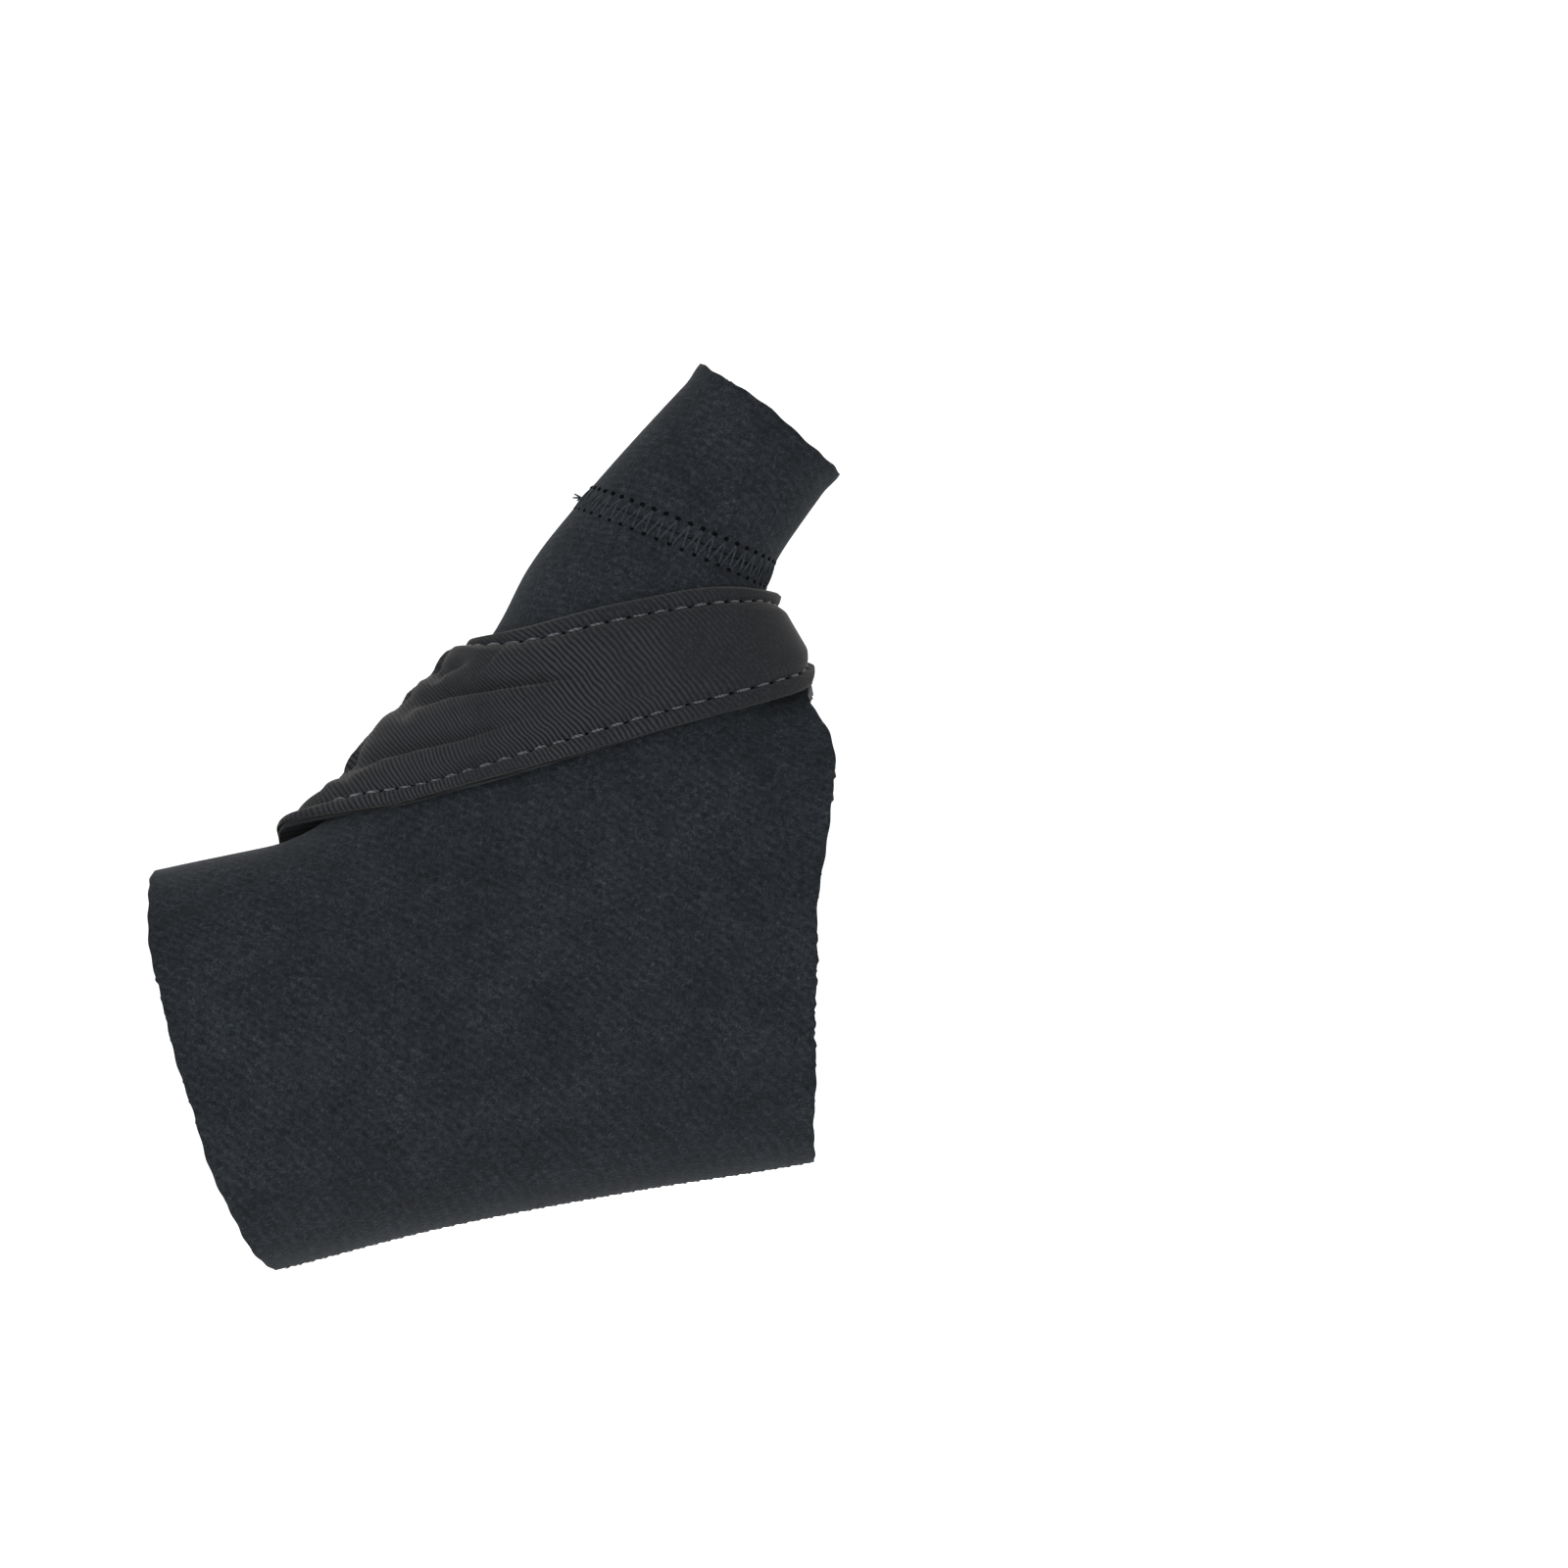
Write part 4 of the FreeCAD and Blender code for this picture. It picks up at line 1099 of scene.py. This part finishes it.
def strap_piece(name, bottom, top, material, inset=0.0):
    """A closed piece between two heights over the form, with a UV map in millimetres."""
    squeeze = 1 - inset / width_grid
    across = rounded_across(across_grid * squeeze, along_grid, width_grid)
    base = sampled(strap_rows, across)
    normals = sampled(strap_normals, across)
    upper = base + normals * top[..., None]
    lower = base + normals * bottom[..., None]
    rows, columns = across.shape
    points = np.concatenate((upper.reshape(-1, 3), lower.reshape(-1, 3)))
    piece = mesh_object(name, points, closed_grid_faces(rows, columns), material)
    uv = piece.data.uv_layers.new(name="strap_mm")
    flat = np.stack((along_grid, across * width_grid), axis=-1).reshape(-1, 2)
    flat = np.concatenate((flat, flat))
    corners = np.empty(len(piece.data.loops), dtype=int)
    piece.data.loops.foreach_get("vertex_index", corners)
    uv.data.foreach_set("uv", flat[corners].ravel())
    return piece


FACE_SKIN = 0.5
BACKING = 0.5
GLUE_GAP = 0.05
FOAM_INSET = 0.35
BACKING_INSET = 0.1


def finish_strap(piece, nodes):
    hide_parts(*nodes)
    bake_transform(piece)


top_of_strap = LIFT + height_grid
bottom_of_foam = LIFT + BACKING + GLUE_GAP
top_of_foam = top_of_strap - FACE_SKIN - GLUE_GAP
strap_face = strap_piece("strap_face_twill", top_of_strap - FACE_SKIN, top_of_strap, TWILL)
strap_foam = strap_piece("strap_foam_padding", bottom_of_foam, top_of_foam, FOAM, FOAM_INSET)
strap_back = strap_piece("strap_backing_cloth", LIFT, LIFT + BACKING, LINING, BACKING_INSET)
finish_strap(strap_face, ("strap_face_fabric", "strap_end_face_fabric"))
finish_strap(strap_foam, ("strap_foam_core", "strap_end_foam_core"))
finish_strap(strap_back, ("strap_backing", "strap_end_backing"))
print("strap pieces made")

# %% [markdown]
# ## Stitches
# A lockstitch shows as short dashes of thread that dip into the cloth at both ends. Each dash is a
# small bent capsule with six sides, and one mesh holds a whole row.

# %% A dash of thread
THREAD_RADIUS = 0.26
THREAD_BOW = 0.22
NEEDLE_RADIUS = 0.34
STITCH_START = 0.35
STITCH_DIP = 0.5
HOLE_BEFORE = 0.1
END_CLEAR = 3


def dash(start, end, normal, radius, lift):
    """Points and faces of one stitch: a tube that rises between two needle holes."""
    run = end - start
    length = np.linalg.norm(run)
    run = run / length
    side = np.cross(normal, run)
    rings = []
    for step in np.linspace(0, 1, 7):
        bow = math.sin(math.pi * step)
        centre = start + run * length * step + normal * (lift * bow - 0.25 * radius)
        thick = radius * (0.45 + 0.55 * bow ** 0.5)
        ring = []
        for turn in np.linspace(0, 2 * math.pi, 8, endpoint=False):
            ring.append(centre + side * thick * math.cos(turn) + normal * thick * 0.8 * math.sin(turn))
        rings.append(ring)
    return rough_tube(rings)


def hole(centre, normal, run, radius):
    """A needle hole as painted shade: a shallow dark bead sunk into the cloth."""
    side = np.cross(normal, run)
    rings = []
    for step in np.linspace(0.05, 1, 4):
        angle = step * math.pi / 2
        flat = radius * math.sin(angle)
        up = 0.12 * math.cos(angle)
        ring = [centre + normal * up + run * flat * 1.3 * math.cos(turn) + side * flat * math.sin(turn)
                for turn in np.linspace(0, 2 * math.pi, 8, endpoint=False)]
        rings.append(ring)
    return rough_tube(rings)


def gather(parts):
    """Joins many small point and face lists into one."""
    points, faces = [], []
    for part_points, part_faces in parts:
        start = len(points)
        points += list(part_points)
        faces += [tuple(place + start for place in face) for face in part_faces]
    return points, faces


def strap_surface(along, across):
    """Point, normal and heading on the strap's face."""
    column = along / STRAP_LENGTH * (len(AT) - 1)
    low = int(np.clip(math.floor(column), 0, len(AT) - 2))
    row = (across + 1) / 2 * (len(ACROSS) - 1)
    under = int(np.clip(math.floor(row), 0, len(ACROSS) - 2))
    share, rise = column - low, row - under
    corner = face_points[under:under + 2, low:low + 2]
    point = (corner[0, 0] * (1 - share) + corner[0, 1] * share) * (1 - rise)
    point = point + (corner[1, 0] * (1 - share) + corner[1, 1] * share) * rise
    heading = corner[0, 1] - corner[0, 0]
    sideways = corner[1, 0] - corner[0, 0]
    normal = np.cross(heading, sideways)
    normal /= np.linalg.norm(normal)
    if np.dot(normal, strap_normals[under, low]) < 0:
        normal = -normal
    return point, normal, heading / np.linalg.norm(heading)


face_points = strap_rows + strap_normals * top_of_strap[..., None]


def edge_row(side, start, end):
    """Stitches along one edge of the strap, with its needle holes as dark beads of painted shade."""
    threads, holes = [], []
    number = math.ceil(start / STITCH_PITCH)
    while number * STITCH_PITCH < end:
        begin = number * STITCH_PITCH
        finish = begin + STITCH_LENGTH + STITCH_DIP
        width = float(np.interp(begin, AT, half_width))
        across = side * (1 - ROW_INSET / width)
        if finish < STRAP_LENGTH - END_CLEAR:
            first, normal, _heading = strap_surface(begin + STITCH_START, across)
            last, _normal, _heading = strap_surface(finish, across)
            threads.append(dash(first, last, normal, THREAD_RADIUS, THREAD_BOW))
            hole_place, hole_normal, hole_run = strap_surface(begin - HOLE_BEFORE, across)
            holes.append(hole(hole_place, hole_normal, hole_run, NEEDLE_RADIUS))
        number += 1
    return threads, holes


def thread_piece(name, parts, material, body, *nodes):
    points, faces = gather(parts)
    piece = mesh_object(name, points, faces, material)
    if nodes:
        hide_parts(*nodes)
    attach(piece, body)
    return piece


def together(rows):
    """Joins the threads and the holes of several rows."""
    threads, holes = [], []
    for row_threads, row_holes in rows:
        threads += row_threads
        holes += row_holes
    return threads, holes


ROOT_CLEAR = 3.5
sewn = (3.0, AT_ROOT - ROOT_CLEAR)
free = (AT_ROOT + ROOT_CLEAR, STRAP_LENGTH - 5)
lower_threads, lower_holes = edge_row(-1, *sewn)
upper_threads, upper_holes = edge_row(1, *sewn)
thread_piece("strap_lower_edge_stitches", lower_threads, THREAD, "sleeve", "strap_lower_edge_thread")
thread_piece("strap_upper_edge_stitches", upper_threads, THREAD, "sleeve", "strap_upper_edge_thread")
# The strap's needle holes: dark beads of painted shade.
thread_piece("strap_needle_hole_painted_shade", lower_holes + upper_holes, PAINTED_HOLE_SHADE, "sleeve")
free_threads, free_holes = together(edge_row(side, *free) for side in (-1, 1))
print("edge stitches", len(lower_threads) + len(upper_threads) + len(free_threads))


# %% Cross rows: the free end's hook patch and the sewn anchor
def line_row(first, last):
    """Stitches between two places on the strap, each given as along and across."""
    first, last = np.array(first), np.array(last)
    width = float(np.interp(first[0], AT, half_width))
    length = math.hypot(last[0] - first[0], (last[1] - first[1]) * width)
    count = max(2, int(length / STITCH_PITCH))
    threads, holes = [], []
    for number in range(count):
        begin = first + (last - first) * (number + 0.1) / count
        finish = first + (last - first) * (number + 0.8) / count
        point, normal, _heading = strap_surface(*begin)
        other, _normal, _heading = strap_surface(*finish)
        run = (other - point) / np.linalg.norm(other - point)
        threads.append(dash(point, other, normal, THREAD_RADIUS, THREAD_BOW))
        # The needle hole is a dark bead of painted shade.
        holes.append(hole(point - run * 0.4, normal, run, NEEDLE_RADIUS))
    return threads, holes


end_row = STRAP_LENGTH - ROW_INSET
ROOT_ROW_AT, ROOT_ROW_HALF, END_ROW_HALF = AT_ROOT + 5, 0.72, 0.5
patch_rows = (((end_row, -END_ROW_HALF), (end_row, END_ROW_HALF)),
              ((ROOT_ROW_AT, -ROOT_ROW_HALF), (ROOT_ROW_AT, ROOT_ROW_HALF)))
row_threads, row_holes = together(line_row(first, last) for first, last in patch_rows)
free_threads += row_threads
free_holes += row_holes
thread_piece("hook_patch_stitches", free_threads, THREAD, "strap_end", "hook_patch_thread")
# The free end's needle holes: dark beads of painted shade.
thread_piece("free_end_needle_hole_painted_shade", free_holes, PAINTED_HOLE_SHADE, "strap_end")

ANCHOR_NEAR, ANCHOR_FAR, ANCHOR_HALF = 3.0, 19.0, 0.64
anchor_corners = [(ANCHOR_NEAR, -ANCHOR_HALF), (ANCHOR_FAR, -ANCHOR_HALF),
                  (ANCHOR_FAR, ANCHOR_HALF), (ANCHOR_NEAR, ANCHOR_HALF)]
# The box is sewn corner to corner first, then the cross inside it.
anchor_lines = ((0, 1), (1, 2), (2, 3), (3, 0), (0, 2), (1, 3))
anchor_threads, anchor_holes = together(
    line_row(anchor_corners[first], anchor_corners[last]) for first, last in anchor_lines)
thread_piece("strap_anchor_stitches", anchor_threads, THREAD, "sleeve", "strap_anchor_thread")
# The anchor's needle holes: dark beads of painted shade.
thread_piece("anchor_needle_hole_painted_shade", anchor_holes, PAINTED_HOLE_SHADE, "sleeve")
print("anchor stitches", len(anchor_threads))

# %% [markdown]
# ## Hook patch
# The patch is a woven tape with rows of moulded hooks that face the sleeve. Real hooks are finer,
# but rows of small crooks about 1 mm apart read the same when the free end is peeled open.

# %% Tape and hooks
PATCH_MARGIN = 2.2
PATCH_AFTER_ROOT = 8
END_HALF_WIDTH = 12.5
TAPE_GAP = 0.02
TAPE_UNDER = 0.15
HOOK_FOOT = 0.2
HOOK_LENGTH = 0.45
HOOK_RADIUS = 0.09
HOOK_BOW = 0.12
HOOK_EVERY = 3
HOOKS_CLEAR = 2


def build_hook_patch():
    start, end = AT_ROOT + PATCH_AFTER_ROOT, STRAP_LENGTH - PATCH_MARGIN
    inside = (AT >= start) & (AT <= end)
    columns = np.nonzero(inside)[0]
    span = np.abs(ACROSS) <= 1 - PATCH_MARGIN / END_HALF_WIDTH
    rows = np.nonzero(span)[0]
    base = strap_rows[np.ix_(rows, columns)]
    normal = strap_normals[np.ix_(rows, columns)]
    upper = base + normal * (AIR - TAPE_GAP)
    lower = base + normal * TAPE_UNDER
    points = np.concatenate((upper.reshape(-1, 3), lower.reshape(-1, 3)))
    parts = [(list(points), closed_grid_faces(len(rows), len(columns)))]
    for row in range(HOOKS_CLEAR, len(rows) - HOOKS_CLEAR, HOOK_EVERY):
        for column in range(HOOKS_CLEAR, len(columns) - HOOKS_CLEAR, HOOK_EVERY):
            foot = base[row, column] + normal[row, column] * HOOK_FOOT
            lean = base[row, column + 1] - base[row, column]
            lean /= np.linalg.norm(lean)
            tip = foot + lean * HOOK_LENGTH
            parts.append(dash(foot, tip, -normal[row, column], HOOK_RADIUS, HOOK_BOW))
    points, faces = gather(parts)
    patch = mesh_object("hook_patch_tape", points, faces, HOOKS)
    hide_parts("hook_patch")
    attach(patch, "strap_end")
    return patch


hook_patch = build_hook_patch()
print("hook patch faces", len(hook_patch.data.polygons))

# %% [markdown]
# ## Flatlock seams
# A flatlock joins two edges that only butt. Two needles stitch a row on each side of the joint and
# a looper thread zigzags between them, so a worn seam shows as two rows of small holes with a
# ladder of soft thread across a shallow groove.

# %% A flatlock along any closed or open line on the form
FLATLOCK_PITCH = 2.1
FLATLOCK_HALF = 2.0
LOOPER_RADIUS = 0.18
LOOPER_BOW = 0.1
HIGH_HOLE = 0.38
LOW_HOLE = 0.32
HOLE_PAST_THREAD = 0.2
OVER_FORM = 0.05


def ring_in_plane(cut, centre, count=720):
    """Points of the form's outline in a plane, walked round from its centre."""
    normal = cut[1]
    side = np.cross(normal, (0, 1, 0))
    turns = np.linspace(0, 2 * math.pi, count, endpoint=False)
    rays = np.cos(turns)[:, None] * side + np.sin(turns)[:, None] * np.array((0, 1.0, 0))
    near = np.full(count, 3.0)
    far = np.full(count, 60.0)
    for _ in range(30):
        middle = (near + far) / 2
        inside = form_distance(centre + rays * middle[:, None]) < 0
        near = np.where(inside, middle, near)
        far = np.where(inside, far, middle)
    return centre + rays * near[:, None]


def flatlock(line, closed, across):
    """Threads of a flatlock along a line of points, with its needle holes as dark beads of painted shade,
    laid out to both sides of it.
    """
    line = np.array(line)
    if closed:
        line = np.vstack((line, line[:1]))
    lengths = running_length(line)
    count = int(lengths[-1] / FLATLOCK_PITCH)
    at = lengths[-1] * (np.arange(count) + 0.5) / count

    def along(shift):
        return np.stack([np.interp(at + shift, lengths, line[:, axis]) for axis in range(3)], axis=1)

    here = along(0)
    run = along(0.6) - along(-0.6)
    run /= np.linalg.norm(run, axis=1, keepdims=True)
    normal = form_normal(here)
    half = across * FLATLOCK_HALF
    low = onto_form(here - half, OVER_FORM)
    high = onto_form(here + half + run * FLATLOCK_PITCH * 0.1, OVER_FORM)
    after = onto_form(here - half + run * FLATLOCK_PITCH * 0.8, OVER_FORM)
    threads, holes = [], []
    for number in range(count):
        for first, last in ((low, high), (high, after)):
            threads.append(dash(first[number], last[number], normal[number], LOOPER_RADIUS, LOOPER_BOW))
        for row, side, radius in ((high, 1, HIGH_HOLE), (low, -1, LOW_HOLE)):
            place = row[number] + side * across * HOLE_PAST_THREAD
            holes.append(hole(place, normal[number], run[number], radius))
    return threads, holes


TAIL_AT = (76.6, 0, 78.0)
seam_centre = np.array((SEAM[0], 0, SEAM[1]))
thumb_ring = ring_in_plane(PAST_SEAM, seam_centre)
threads, holes = flatlock(thumb_ring, True, PAST_SEAM[1])
# The looper thread's tail stands out at the radial side, where the seam was closed.
for out, rise in ((1.5, 0.3), (1.1, 0.9), (0.9, -0.3)):
    tail = np.array(TAIL_AT)
    threads.append(dash(tail, tail + np.array((-out, -0.4, rise)), np.array((0, -1.0, 0)), 0.16, 0.2))
thread_piece("thumb_seam_stitches", threads, SEAM_THREAD, "thumb", "thumb_seam_thread")
# The thumb seam's needle holes: dark beads of painted shade.
thread_piece("thumb_seam_hole_painted_shade", holes, PAINTED_HOLE_SHADE, "thumb")
print("thumb seam stitches", len(threads))

# %% The seam under the strap, and the two closings
gusset_centre = np.array((78.0, 0, 45.8))
gusset_ring = ring_in_plane(ABOVE_GUSSET, gusset_centre)
threads, holes = flatlock(gusset_ring, True, ABOVE_GUSSET[1])
thread_piece("thumb_base_seam_stitches", threads, SEAM_THREAD, "sleeve", "thumb_base_seam_thread")

closing_line = onto_form([(x, 0, -33.0) for x in np.linspace(3.5, 90, 120)])
threads, holes = flatlock(closing_line, False, np.array((0, 1.0, 0)))
thread_piece("closing_seam_stitches", threads, SEAM_THREAD, "sleeve", "closing_seam_thread")
# The closing seam's needle holes: dark beads of painted shade.
thread_piece("closing_seam_hole_painted_shade", holes, PAINTED_HOLE_SHADE, "sleeve")

thumb_heading = np.array((THUMB_RUN[0], 0, THUMB_RUN[1]))
back_of_thumb = np.array([seam_centre + thumb_heading * along + np.array((0, 14, 0))
                          for along in np.linspace(3, TUBE_LENGTH - 0.8, 40)])
back_of_thumb = onto_form(back_of_thumb, rounds=5)
thumb_side = np.cross(thumb_heading, (0, 1.0, 0))
threads, holes = flatlock(back_of_thumb, False, thumb_side)
thread_piece("thumb_closing_stitches", threads, SEAM_THREAD, "thumb", "thumb_closing_seam_thread")
# The thumb closing's needle holes: dark beads of painted shade.
thread_piece("thumb_closing_hole_painted_shade", holes, PAINTED_HOLE_SHADE, "thumb")
print("closings sewn")
